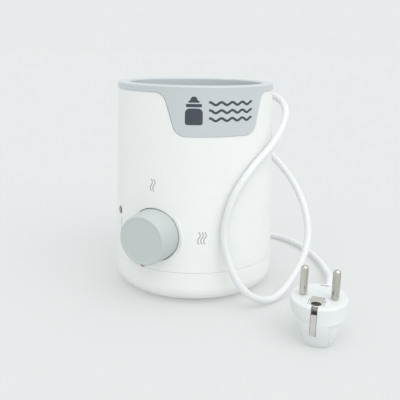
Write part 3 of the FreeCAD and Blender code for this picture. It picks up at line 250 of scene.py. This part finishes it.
def metal(name, colour, roughness, lines, scale, place=own_place, spots=0.05, cloud_scale=90):
    """Metal with fine lines of a given relief and scale, and a cloudy tone, which is wear on most metals and on
    the pins partly painted reflection streaks; both follow place(tree).
    """
    material, tree, shader = start(name)
    shader.inputs["Metallic"].default_value = 1
    wear_and_painted_streaks = ranged(tree, noise(tree, cloud_scale, 4, place(tree)), 0, 1)
    tones = two_tones(tree, wear_and_painted_streaks, shaded(colour, 1 - spots), shaded(colour, 1 + spots))
    tree.links.new(tones, shader.inputs["Base Color"])
    marks = noise(tree, scale, 5, place(tree))
    gloss = ranged(tree, marks, roughness - 0.08, roughness + 0.08)
    tree.links.new(gloss, shader.inputs["Roughness"])
    bump(tree, shader, marks, lines, 0.03 * MM)
    return material


def flaky(name, colour, roughness, scale, tones=0.2, relief=0.3, metallic=0.0):
    """Layered or crystalline matter: irregular cells of slightly different tone and height."""
    material, tree, shader = start(name)
    flakes = cells(tree, scale)
    share = ranged(tree, flakes, 0, 1, 0, 0.8)
    mixed = two_tones(tree, share, shaded(colour, 1 - tones), shaded(colour, 1 + tones))
    tree.links.new(mixed, shader.inputs["Base Color"])
    gloss = ranged(tree, noise(tree, scale / 3), roughness - 0.1, roughness + 0.1)
    tree.links.new(gloss, shader.inputs["Roughness"])
    shader.inputs["Metallic"].default_value = metallic
    bump(tree, shader, flakes, relief, 0.1 * MM)
    return material


def braided(name, colour, pitch):
    """A braided sleeve: two sets of slanting strands that cross."""
    material, tree, shader = start(name)
    heights = []
    for slant in (math.radians(40), math.radians(-40)):
        turned = tree.nodes.new("ShaderNodeMapping")
        turned.inputs["Rotation"].default_value = (slant, 0, slant)
        wave = tree.nodes.new("ShaderNodeTexWave")
        wave.inputs["Scale"].default_value = 1 / pitch
        wave.inputs["Distortion"].default_value = 0.6
        tree.links.new(own_place(tree), turned.inputs["Vector"])
        tree.links.new(turned.outputs["Vector"], wave.inputs["Vector"])
        heights.append(wave.outputs["Fac"])
    highest = tree.nodes.new("ShaderNodeMath")
    highest.operation = "MAXIMUM"
    for socket, height in zip(highest.inputs, heights):
        tree.links.new(height, socket)
    strands = highest.outputs["Value"]
    tones = two_tones(tree, strands, shaded(colour, 0.6), shaded(colour, 1.05))
    tree.links.new(tones, shader.inputs["Base Color"])
    shader.inputs["Roughness"].default_value = 0.85
    bump(tree, shader, strands, 0.6, 0.15 * MM)
    return material


def glass(name, tint, roughness):
    """Clear tinted glass, slightly cloudy and not quite evenly smooth."""
    material, tree, shader = start(name)
    smoke = ranged(tree, noise(tree, 300, 3), 0, 1)
    tree.links.new(two_tones(tree, smoke, shaded(tint, 0.95), tint), shader.inputs["Base Color"])
    gloss = ranged(tree, noise(tree, 600, 2), roughness, roughness + 0.05)
    tree.links.new(gloss, shader.inputs["Roughness"])
    shader.inputs["Transmission Weight"].default_value = 0.9
    shader.inputs["IOR"].default_value = 1.5
    return material


def rolled(tree):
    """The object's own coordinates, drawn out along Z for the lines that rolling leaves."""
    return stretched(tree, (1, 1, 0.04))


def drawn(tree):
    """The object's own coordinates, drawn out along Z for the lines down a drawn pin."""
    return stretched(tree, (1, 1, 0.05))


def make_materials():
    """One material for each of the record's slots."""
    return {
        "casing_white": moulded("casing_white", (0.846, 0.852, 0.834), 0.34),
        "collar_grey": moulded("collar_grey", (0.560, 0.594, 0.610), 0.30, coat=0.3),
        "knob_grey": moulded("knob_grey", (0.532, 0.568, 0.564), 0.36, grain=0.16),
        "lens_grey": moulded("lens_grey", (0.10, 0.095, 0.10), 0.12, grain=0.03, coat=0.6),
        "foot_rubber": moulded("foot_rubber", (0.055, 0.058, 0.060), 0.78, grain=0.35, mottle=0.08),
        "gasket_silicone": moulded("gasket_silicone", (0.74, 0.74, 0.71), 0.45, depth=0.4),
        "well_aluminium": metal("well_aluminium", (0.78, 0.79, 0.80), 0.30, 0.10, 1400, round_axis),
        "spreader_aluminium": metal("spreader_aluminium", (0.62, 0.63, 0.64), 0.45, 0.30, 1800, spots=0.1),
        "inner_plastic": moulded("inner_plastic", (0.66, 0.62, 0.52), 0.48),
        "heater_ceramic": flaky("heater_ceramic", (0.42, 0.41, 0.39), 0.55, 700, tones=0.15, relief=0.4,
                                metallic=0.4),
        "steatite": moulded("steatite", (0.78, 0.74, 0.66), 0.62, grain=0.4, mottle=0.03, grain_scale=1800),
        "mica": flaky("mica", (0.42, 0.34, 0.22), 0.35, 500),
        "plated_steel": metal("plated_steel", (0.66, 0.648, 0.615), 0.32, 0.12, 1600, spots=0.10),
        "brass": metal("brass", (0.72, 0.54, 0.26), 0.30, 0.10, 1500),
        "spring_bronze": metal("spring_bronze", (0.68, 0.45, 0.27), 0.30, 0.12, 1500, rolled),
        "bimetal": metal("bimetal", (0.45, 0.44, 0.43), 0.36, 0.14, 1500, rolled),
        "fuse_case": metal("fuse_case", (0.68, 0.69, 0.70), 0.30, 0.08, 1200),
        "glass_sleeve": braided("glass_sleeve", (0.76, 0.74, 0.66), 0.9 * MM),
        "bakelite": moulded("bakelite", (0.030, 0.024, 0.020), 0.24, grain=0.06, mottle=0.3, coat=0.3),
        "lamp_glass": glass("lamp_glass", (0.95, 0.78, 0.66), 0.02),
        "wire_brown": moulded("wire_brown", (0.10, 0.045, 0.022), 0.45, mottle=0.05),
        "wire_blue": moulded("wire_blue", (0.03, 0.08, 0.30), 0.45, mottle=0.05),
        "wire_white": moulded("wire_white", (0.74, 0.74, 0.71), 0.45, mottle=0.02),
        "cord_white": moulded("cord_white", (0.775, 0.785, 0.788), 0.42, grain=0.08, depth=0.5),
        "plug_white": moulded("plug_white", (0.755, 0.768, 0.770), 0.30, grain=0.08, depth=0.05),
        # Partly painted reflection: the pins' strong tone streaks down the drawn lines stand for reflected streaks
        # as well as drawing marks.
        "pin_nickel": metal("pin_nickel", (0.56, 0.553, 0.492), 0.22, 0.10, 1100, drawn, spots=0.22,
                            cloud_scale=420),
        "print_slate": moulded("print_slate", (0.050, 0.058, 0.075), 0.45, grain=0.05, mottle=0.05),
        "print_grey": moulded("print_grey", (0.36, 0.38, 0.38), 0.45, grain=0.05, mottle=0.03),
        "print_red": moulded("print_red", (0.42, 0.26, 0.20), 0.45, grain=0.05, mottle=0.04),
    }


def make_floor_material():
    """A matt floor with a faint glow, which keeps it about as light as the background."""
    material = moulded("floor", FLOOR_COLOUR, 0.60, grain=0.0, mottle=0.002)
    shader = material.node_tree.nodes["Principled BSDF"]
    shader.inputs["Emission Color"].default_value = (*FLOOR_GLOW_COLOUR, 1)
    shader.inputs["Emission Strength"].default_value = FLOOR_GLOW
    shader.inputs["Specular IOR Level"].default_value = 0
    return material


# ---------------------------------------------------------------- mains lead
# Route of the free lead: the control points of its smooth line, from the strain relief to the plug's
# boot, the same ones as in the CAD.
CORD_ROUTE = (
    (0, 0.082, 0.016), (0, 0.109, 0.016), (0.006, 0.128, 0.035), (0.016, 0.126, 0.065),
    (0.029, 0.105, 0.093), (0.045, 0.078, 0.116), (0.061, 0.050, 0.133), (0.071, 0.018, 0.137),
    (0.067, -0.016, 0.127), (0.046, -0.042, 0.109), (0.022, -0.057, 0.094), (0.007, -0.062, 0.074),
    (0.002, -0.062, 0.047), (0.011, -0.072, 0.017), (0.030, -0.070, 0.003), (0.051, -0.059, 0.003),
    (0.078, -0.044, 0.033), (0.080, -0.021, 0.064), (0.068, 0.005, 0.089), (0.053, 0.034, 0.102),
    (0.040, 0.062, 0.105), (0.024, 0.084, 0.091), (0.012, 0.098, 0.061), (0.014, 0.104, 0.028),
    (0.030, 0.098, 0.004), (0.055, 0.088, 0.003), (0.080, 0.074, 0.003), (0.101, 0.054, 0.003),
    (0.108, 0.026, 0.003), (0.106, -0.007, 0.003), (0.098, -0.038, 0.004), (0.0826, -0.0674, 0.0125),
    (0.0731, -0.0802, 0.0125),
)
CORD_DIAMETER, CORD_LENGTH = 0.0052, 0.99


def make_cord(material):
    """The free lead, drawn in place of the CAD's cord."""
    curve = bpy.data.curves.new("lead", "CURVE")
    curve.dimensions = "3D"
    spline = curve.splines.new("NURBS")
    spline.points.add(len(CORD_ROUTE) - 1)
    for point, place in zip(spline.points, CORD_ROUTE):
        point.co = (*place, 1)
    spline.order_u = 3
    spline.use_endpoint_u = True
    spline.resolution_u = 12
    curve.bevel_depth = CORD_DIAMETER / 2
    curve.bevel_resolution = 6
    curve.use_fill_caps = True
    curve.materials.append(material)
    lead = link(bpy.data.objects.new("lead", curve))
    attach(lead, "root")
    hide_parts("power_cord")


# ---------------------------------------------------------------- mesh helpers
SMOOTH_ANGLE = 40                                                   # degrees; sharper edges stay sharp


def solid(name, builder, material):
    """An object from a filled bmesh, smooth except at its sharp edges."""
    mesh = bpy.data.meshes.new(name)
    bmesh.ops.recalc_face_normals(builder, faces=builder.faces)
    builder.to_mesh(mesh)
    builder.free()
    mesh.shade_smooth()
    mesh.set_sharp_from_angle(angle=math.radians(SMOOTH_ANGLE))
    mesh.materials.append(material)
    return link(bpy.data.objects.new(name, mesh))


def piece(name, builder, material, body="root"):
    """A solid that rides on a body and takes its finish from one of the record's slots."""
    made = solid(name, builder, material)
    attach(made, body)
    return made


def skin_rings(rings, closed=True):
    """A bmesh with faces between following rings of points; closed fills the first and the last ring."""
    builder = bmesh.new()
    rows = [[builder.verts.new(point) for point in ring] for ring in rings]
    for low, high in zip(rows, rows[1:]):
        for index, corner in enumerate(low):
            following = (index + 1) % len(low)
            builder.faces.new((corner, low[following], high[following], high[index]))
    if closed:
        builder.faces.new(rows[0])
        builder.faces.new(rows[-1])
    return builder


# ---------------------------------------------------------------- printed marks
# The casing's radius at the object's top, and what it gains per millimetre further down.
CASING_TOP_RADIUS, CASING_FLARE = 54.9, 0.0346
OBJECT_TOP = cad_box[1].z / MM
TAB_PROUD = 0.35                                                    # the tab's face, out from the casing's
INK_ABOVE, INK_BELOW = 0.05, 0.06                                   # how far ink stands out and reaches in
# Each heat mark's count of waves, its azimuth in degrees and the height of its middle.
HEAT_MARKS = ((1, -78.8, 48.8), (2, -44.5, 83.0), (3, -10.2, 49.0))
BOTTLE_AZIMUTH, WAVES_AZIMUTH = -16.5, 9.5                          # degrees, on the tab
WAVE_HEIGHTS = (127.2, 132.2, 137.2)


def on_casing(across, height, azimuth, lift):
    """The place at a height and an arc length across from an azimuth, lift outside the casing."""
    radius = CASING_TOP_RADIUS + CASING_FLARE * (OBJECT_TOP - height)
    angle = math.radians(azimuth) + across / radius
    reach = radius + lift
    return Vector((reach * math.sin(angle), -reach * math.cos(angle), height)) * MM


def ink(builder, rows, azimuth, proud=0.0):
    """A closed film of ink over rows of (across, height) points that all have the same count."""
    films = []
    for lift in (proud + INK_ABOVE, proud - INK_BELOW):
        places = [[on_casing(across, height, azimuth, lift) for across, height in row] for row in rows]
        films.append([[builder.verts.new(place) for place in row] for row in places])
    for film in films:
        for low, high in zip(film, film[1:]):
            for index in range(len(low) - 1):
                builder.faces.new((low[index], low[index + 1], high[index + 1], high[index]))
    edges = []
    for film in films:
        right = [row[-1] for row in film[1:-1]]
        left = [row[0] for row in reversed(film[1:-1])]
        edges.append([*film[0], *right, *reversed(film[-1]), *left])
    upper, lower = edges
    for index, corner in enumerate(upper):
        following = (index + 1) % len(upper)
        builder.faces.new((corner, upper[following], lower[following], lower[index]))


def stroke(line, half_width):
    """Rows across a line of (across, height) points, with round ends."""
    points = [Vector(point) for point in line]
    last = len(points) - 1
    turns = [math.radians(angle) for angle in (80, 60, 40, 20)]
    # Each row's point on the line, how far it lies beyond that and its width, in parts of half_width.
    widths = [(0, -math.sin(turn), math.cos(turn)) for turn in turns]
    widths += [(index, 0, 1) for index in range(len(points))]
    widths += [(last, math.sin(turn), math.cos(turn)) for turn in reversed(turns)]
    rows = []
    for index, beyond, share in widths:
        before, after = points[max(index - 1, 0)], points[min(index + 1, last)]
        along = (after - before).normalized()
        side = Vector((along.y, -along.x))
        middle = points[index] + along * beyond * half_width
        rows.append([middle + side * share * half_width * part for part in (-1, 0, 1)])
    return rows


def silhouette(outline):
    """Rows of a symmetrical figure from (height, half width) pairs."""
    columns = 10
    return [[(half * (2 * index / columns - 1), height) for index in range(columns + 1)]
            for height, half in outline]


def rounded_block(low, high, low_half, high_half, low_round, high_round):
    """Outline of an upright figure with straight sides and rounded lower and upper corners."""
    steps = 5
    sweep = math.radians(88)                # just under a quarter turn, so that no row shrinks to a point
    outline = []
    for end, half, corner, sign in ((low, low_half, low_round, -1), (high, high_half, high_round, 1)):
        bend = []
        for index in range(steps + 1):
            angle = sweep * (1 - index / steps)
            height = end - sign * corner * (1 - math.sin(angle))
            bend.append((height, half - corner * (1 - math.cos(angle))))
        outline += bend if sign < 0 else bend[::-1]
    return outline


def make_heat_marks(material):
    """One, two and three rising waves beside the heat control."""
    height, swing, half_width, pitch, steps = 8.0, 0.85, 0.3, 2.0, 24
    for count, azimuth, middle in HEAT_MARKS:
        builder = bmesh.new()
        for number in range(count):
            offset = (number - (count - 1) / 2) * pitch
            line = []
            for step in range(steps + 1):
                sideways = swing * math.sin(2 * math.pi * step / steps)
                line.append((offset + sideways, middle + height * (0.5 - step / steps)))
            ink(builder, stroke(line, half_width), azimuth)
        piece(f"heat_mark_{count}", builder, material)


def make_tab_pictogram(material):
    """A plain bottle and three waves of warm water, printed on the collar's tab."""
    builder = bmesh.new()
    body = rounded_block(123.8, 134.2, 5.6, 5.6, 1.6, 3.0)
    ring = rounded_block(135.0, 137.0, 5.0, 5.0, 0.6, 0.6)
    teat = rounded_block(137.8, 141.6, 3.6, 2.2, 0.6, 2.1)
    for outline in (body, ring, teat):
        ink(builder, silhouette(outline), BOTTLE_AZIMUTH, TAB_PROUD)
    half_length, period, swing, half_width, steps = 15.0, 7.5, 0.85, 0.75, 80
    for height in WAVE_HEIGHTS:
        line = []
        for step in range(steps + 1):
            across = half_length * (2 * step / steps - 1)
            line.append((across, height + swing * math.cos(2 * math.pi * across / period)))
        ink(builder, stroke(line, half_width), WAVES_AZIMUTH, TAB_PROUD)
    piece("tab_pictogram", builder, material)


# ---------------------------------------------------------------- plug
LEFT_PIN, RIGHT_PIN = middle("plug_pin_left"), middle("plug_pin_right")
PLUG_FOOT = ((LEFT_PIN + RIGHT_PIN) / 2).xy.to_3d()         # on the floor, midway between the pins
PLUG_TURN = math.atan2(*(RIGHT_PIN - LEFT_PIN).yx)          # direction of the line from pin to pin
PLUG_FACE, FACE_REAR = 27.4, 20.8           # the face's height, and how far it reaches to the rear
PLUG_RADIUS = 17.3                          # of the round head
GRIP_TOP = 16.5                             # where the grip meets the head
PANEL_STEP = 1.9                            # how far the grip's front lies behind its raised panel
SOCKET_Y, BOOT_HEIGHT = -10.3, 12.5         # the earth socket's place, and the height of the boot's axis
ABOVE_FACE = PLUG_FACE + 1                  # where the cutters that open through the face end
STRIP_THICKNESS = 0.6
# Heights up the grip, each with how far the rounded foot shrinks the section there.
GRIP_LEVELS = ((0, 1.6), (0.25, 0.8), (0.8, 0.25), (1.7, 0), (3.5, 0), (5.5, 0), (7.5, 0), (9.5, 0),
               (11.5, 0), (13.5, 0), (15.2, 0), (GRIP_TOP, 0))
# The panel's last level: it runs up into the head at a slant, so that no two faces lie on each other.
PANEL_TOP, PANEL_CLEARANCE = (GRIP_TOP + 1.8, 0.9), 0.03
# Sections of the head above the grip: half width, rear, height and how far it sits aside.
HEAD_FOOT = (16.1, 18.2, 17.3, 1.4)
HEAD_SECTIONS = ((14.6, 16.0, 16.62, 2.1), (15.4, 17.0, 16.8, 1.8), HEAD_FOOT, (16.6, 19.2, 18.4, 0.95),
                 (16.9, 20.0, 20.0, 0.5), (17.2, 20.5, 21.8, 0.15))
# The face's rounded edge: how far the section shrinks, and its height.
FACE_EDGE = ((0, 23.2), (0, 26.1), (0.1, 26.6), (0.35, 27.05), (0.75, 27.32), (1.2, PLUG_FACE))
# The neck that carries the lead's boot: how far to the rear, and the radius there.
BOOT_NECK = ((4, 6.4), (10, 7.3), (18, 7.3), (22.8, 7.2), (23.6, 6.9), (24, 6.2))


def in_plug(x, y, z):
    """A place in the plug's own frame, in millimetres: X from pin to pin, Y to the rear, Z up."""
    turned = Matrix.Rotation(PLUG_TURN, 3, "Z") @ Vector((x, y, z))
    return turned * MM + PLUG_FOOT


def oval(half_x, front, rear, squareness, height, aside=0.0, count=72):
    """A ring of points on a superellipse between front and rear; squareness 2 makes an ellipse."""
    middle, half_y = (front + rear) / 2, (rear - front) / 2
    ring = []
    for index in range(count):
        angle = 2 * math.pi * index / count
        across, along = math.cos(angle), math.sin(angle)
        x = aside + half_x * math.copysign(abs(across) ** (2 / squareness), across)
        y = half_y * math.copysign(abs(along) ** (2 / squareness), along)
        ring.append(in_plug(x, middle + y, height))
    return ring


def socket_circle(radius, height):
    """A ring of points round the earth socket's axis."""
    return oval(radius, SOCKET_Y - radius, SOCKET_Y + radius, 2, height, count=40)


def socket_cutter(low, radius):
    """A round cutter from a height in the earth socket up through the face."""
    return skin_rings([socket_circle(radius, height) for height in (low, ABOVE_FACE)])


def plug_block(across, along, low, high=ABOVE_FACE):
    """A block between two places across the plug, two along it and two heights."""
    (left, right), (front, rear) = across, along
    corners = ((left, front), (right, front), (right, rear), (left, rear))
    return skin_rings([[in_plug(x, y, height) for x, y in corners] for height in (low, high)])


def combine(target, tool, operation):
    """Join or cut an object with another one, which then goes."""
    modifier = target.modifiers.new(operation.lower(), "BOOLEAN")
    modifier.operation = operation
    modifier.solver = "EXACT"
    modifier.object = tool
    depsgraph = bpy.context.evaluated_depsgraph_get()
    mesh = bpy.data.meshes.new_from_object(target.evaluated_get(depsgraph))
    target.modifiers.remove(modifier)
    target.data = mesh
    bpy.data.objects.remove(tool)


def build_up(item, material, joined=(), cut=()):
    """Join some bmeshes to an object, then cut others out of it."""
    for builders, operation in ((joined, "UNION"), (cut, "DIFFERENCE")):
        for builder in builders:
            combine(item, solid("tool", builder, material), operation)
    item.data.materials.clear()
    item.data.materials.append(material)


def soft_edges(item, width, angle=SMOOTH_ANGLE):
    """Narrow bevels, in millimetres, along the edges that are sharper than an angle in degrees."""
    edges = item.modifiers.new("edges", "BEVEL")
    edges.width = width * MM
    edges.segments = 2
    edges.limit_method = "ANGLE"
    edges.angle_limit = math.radians(angle)
    item.data.shade_smooth()
    item.data.set_sharp_from_angle(angle=math.radians(angle))


def grip_front(height):
    """How far in front of the plug's middle the grip reaches at a height, with its panel."""
    at_foot, gain = 12, 5.3
    return at_foot + gain * (1 - (1 - height / GRIP_TOP) ** 2)


def plug_rings():
    """Sections of the plug from its foot to its face, with a short ledge from the grip to the head."""
    rings = []
    for height, shrink in GRIP_LEVELS:
        share = height / GRIP_TOP
        half_x = 8.2 + 6 * share ** 0.9 - shrink
        front = PANEL_STEP + shrink - grip_front(height)
        rear = 10.5 + 4.5 * share - shrink
        squareness = 3.6 - 1.6 * share
        rings.append(oval(half_x, front, rear, squareness, height, aside=2.5 - 0.3 * share))
    for half_x, rear, height, aside in HEAD_SECTIONS:
        rings.append(oval(half_x, -PLUG_RADIUS, rear, 2, height, aside))
    for shrink, height in FACE_EDGE:
        rings.append(oval(PLUG_RADIUS - shrink, shrink - PLUG_RADIUS, FACE_REAR - shrink, 2, height))
    return rings


def panel_rings():
    """Sections of the raised panel down the grip's front, flush with the round head above it."""
    rings = []
    steps = 16
    half_x, rear, _, aside = HEAD_FOOT
    middle, half_y = (rear - PLUG_RADIUS) / 2, (rear + PLUG_RADIUS) / 2
    for height, shrink in (*GRIP_LEVELS, PANEL_TOP):
        share = min(height / GRIP_TOP, 1)
        left, right = -3.4 - 5.6 * share + shrink, 8.9 - shrink
        back = PLUG_RADIUS - grip_front(min(height, GRIP_TOP)) + shrink + PANEL_CLEARANCE
        ring = []
        for index in range(steps + 1):
            x = left + (right - left) * index / steps
            reach = half_y * math.sqrt(1 - ((x - aside) / half_x) ** 2)
            ring.append(in_plug(x, back + middle - reach, height))
        rings.append([*ring, in_plug(right, 0, height), in_plug(left, 0, height)])
    return rings


def neck_rings(count=48):
    """Round sections of the neck behind the grip."""
    rings = []
    for rear, radius in BOOT_NECK:
        turns = [2 * math.pi * index / count for index in range(count)]
        ring = [(radius * math.cos(turn), radius * math.sin(turn) + BOOT_HEIGHT) for turn in turns]
        rings.append([in_plug(x, rear, z) for x, z in ring])
    return rings


def make_plug(material):
    """The moulded plug, with its neck, the slots for the earth strips and the socket's recess."""
    body = piece("plug_shell", skin_rings(plug_rings()), material)
    front_slot = plug_block((-1.95, 1.95), (-PLUG_RADIUS - 1, 4.6 - PLUG_RADIUS), 9.4)
    rear_slot = plug_block((-1.7, 3.5), (PLUG_RADIUS - 0.3, PLUG_RADIUS + 1.1), 22)
    plate_recess = plug_block((-4.05, 4.05), (SOCKET_Y + 1.5, SOCKET_Y + 10.2), PLUG_FACE - 0.5)
    ring_recess = socket_cutter(PLUG_FACE - 0.7, 3.75)
    bore = socket_cutter(13, 3.2)
    grooves = [plug_block((middle - 0.2, middle + 0.2), (SOCKET_Y - 2.4, SOCKET_Y + 6.4), PLUG_FACE - 0.9)
               for middle in (-4.75, 4.75)]
    build_up(body, material, joined=(skin_rings(panel_rings()), skin_rings(neck_rings())),
             cut=(front_slot, rear_slot, plate_recess, ring_recess, bore, *grooves))
    soft_edges(body, 0.15)
    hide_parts("plug_body")
    return body


def make_strip(name, path, across, material):
    """A thin metal strip that follows a (y, z) path in the plug, between two places across it."""
    profile = [*path, *((y + STRIP_THICKNESS, z) for y, z in reversed(path))]
    ends = [[in_plug(x, y, z) for y, z in profile] for x in across]
    strip = piece(name, skin_rings(ends), material)
    soft_edges(strip, 0.12, angle=50)
    return strip


def make_earth_contacts(bright, painted_shade_metal):
    """The earth socket's ring and plate, and the strips; the front one rises out of a root painted in a darker
    metal as the shade of its slot, and the rear strip is painted in the same darker metal as shade.
    """
    rim = PLUG_FACE + 0.15
    # Radius and height round the section: up the bore, over the rim, down the outside, in and back up.
    # At the axis it stays a hair's breadth open, so that no ring shrinks to a point.
    section = ((2.9, 21), (2.9, rim - 0.1), (3.05, rim), (3.75, rim), (3.9, rim - 0.15), (3.9, 27.0),
               (3.1, 26.9), (3.1, 13.9), (0.05, 13.9), (0.05, 21), (2.9, 21))
    tube = skin_rings([socket_circle(radius, height) for radius, height in section], closed=False)
    bmesh.ops.remove_doubles(tube, verts=tube.verts, dist=0.001 * MM)
    socket = piece("plug_socket", tube, bright)
    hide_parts("plug_earth_socket")
    flat = plug_block((-3.7, 3.7), (SOCKET_Y + 1.8, SOCKET_Y + 10.0), PLUG_FACE - 0.45, PLUG_FACE + 0.05)
    plate = piece("plug_plate", flat, bright)
    build_up(plate, bright, cut=(socket_cutter(26, 3.5),))
    soft_edges(plate, 0.08)
    spring = make_strip("plug_spring", ((-16.5, 9.6), (-17.0, 10.4), (-17.1, 12), (-17.1, 23.2)),
                        (-1.75, 1.75), bright)
    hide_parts("plug_earth_strip_front")
    # Painted shade: the root and the rear strip take a darker metal than the spring, to stand for the shade in
    # their slots.
    root = make_strip("plug_spring_root", ((-13.6, 22.4), (-13.6, 26.6)), (-1.75, 1.75), painted_shade_metal)
    rear = make_strip("plug_spring_rear", ((17.5, 20), (17.5, 27.0)), (-1.5, 3.3), painted_shade_metal)
    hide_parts("plug_earth_strip_rear")
    return [socket, plate, spring, root, rear]


# ---------------------------------------------------------------- heat control
KNOB_JOINT = next(joint for joint in frame["joints"] if joint["name"] == "knob_turn")
KNOB_ORIGIN = Vector(KNOB_JOINT["pos_m"])
KNOB_OUTWARD = -Vector(KNOB_JOINT["axis"])
# Sections of the pointer outwards: place along the knob's axis, half width and the reach of its outer end.
POINTER_SECTIONS = ((68.9, 0.75, 17.2), (69.1, 0.95, 17.7), (69.8, 1.0, 18.2), (72.0, 1.0, 18.2),
                    (72.8, 0.95, 17.9), (73.25, 0.8, 17.3))
POINTER_ROOT, POINTER_CORNER = 16.3, 0.3


def at_knob(x, y, z):
    """A place in the knob's frame, in millimetres: Y up, Z from the well's axis out along the knob's."""
    return KNOB_ORIGIN + (UP.cross(KNOB_OUTWARD) * x + UP * y + KNOB_OUTWARD * z) * MM


def make_pointer(material):
    """The coloured pointer in the notch at the knob's edge, which points down when the control is off."""
    rings = []
    for outwards, half, reach in POINTER_SECTIONS:
        inner, shoulder = half - POINTER_CORNER, reach - POINTER_CORNER
        ring = ((-half, POINTER_ROOT), (-half, shoulder), (-inner, reach), (inner, reach), (half, shoulder),
                (half, POINTER_ROOT))
        rings.append([at_knob(x, -down, outwards) for x, down in ring])
    piece("knob_pointer", skin_rings(rings), material, "knob")


# ---------------------------------------------------------------- the whole object
materials = make_materials()
make_camera()
make_studio(make_floor_material())
for name, item in NODES.items():
    item.data.materials.clear()
    item.data.materials.append(materials[SLOTS[name]])
plug = make_plug(materials["plug_white"])
# The darker metal given second paints the shade on the recessed strips.
contacts = make_earth_contacts(materials["plated_steel"], materials["bimetal"])
make_cord(materials["cord_white"])
make_pointer(materials["print_red"])
make_heat_marks(materials["print_grey"])
make_tab_pictogram(materials["print_slate"])
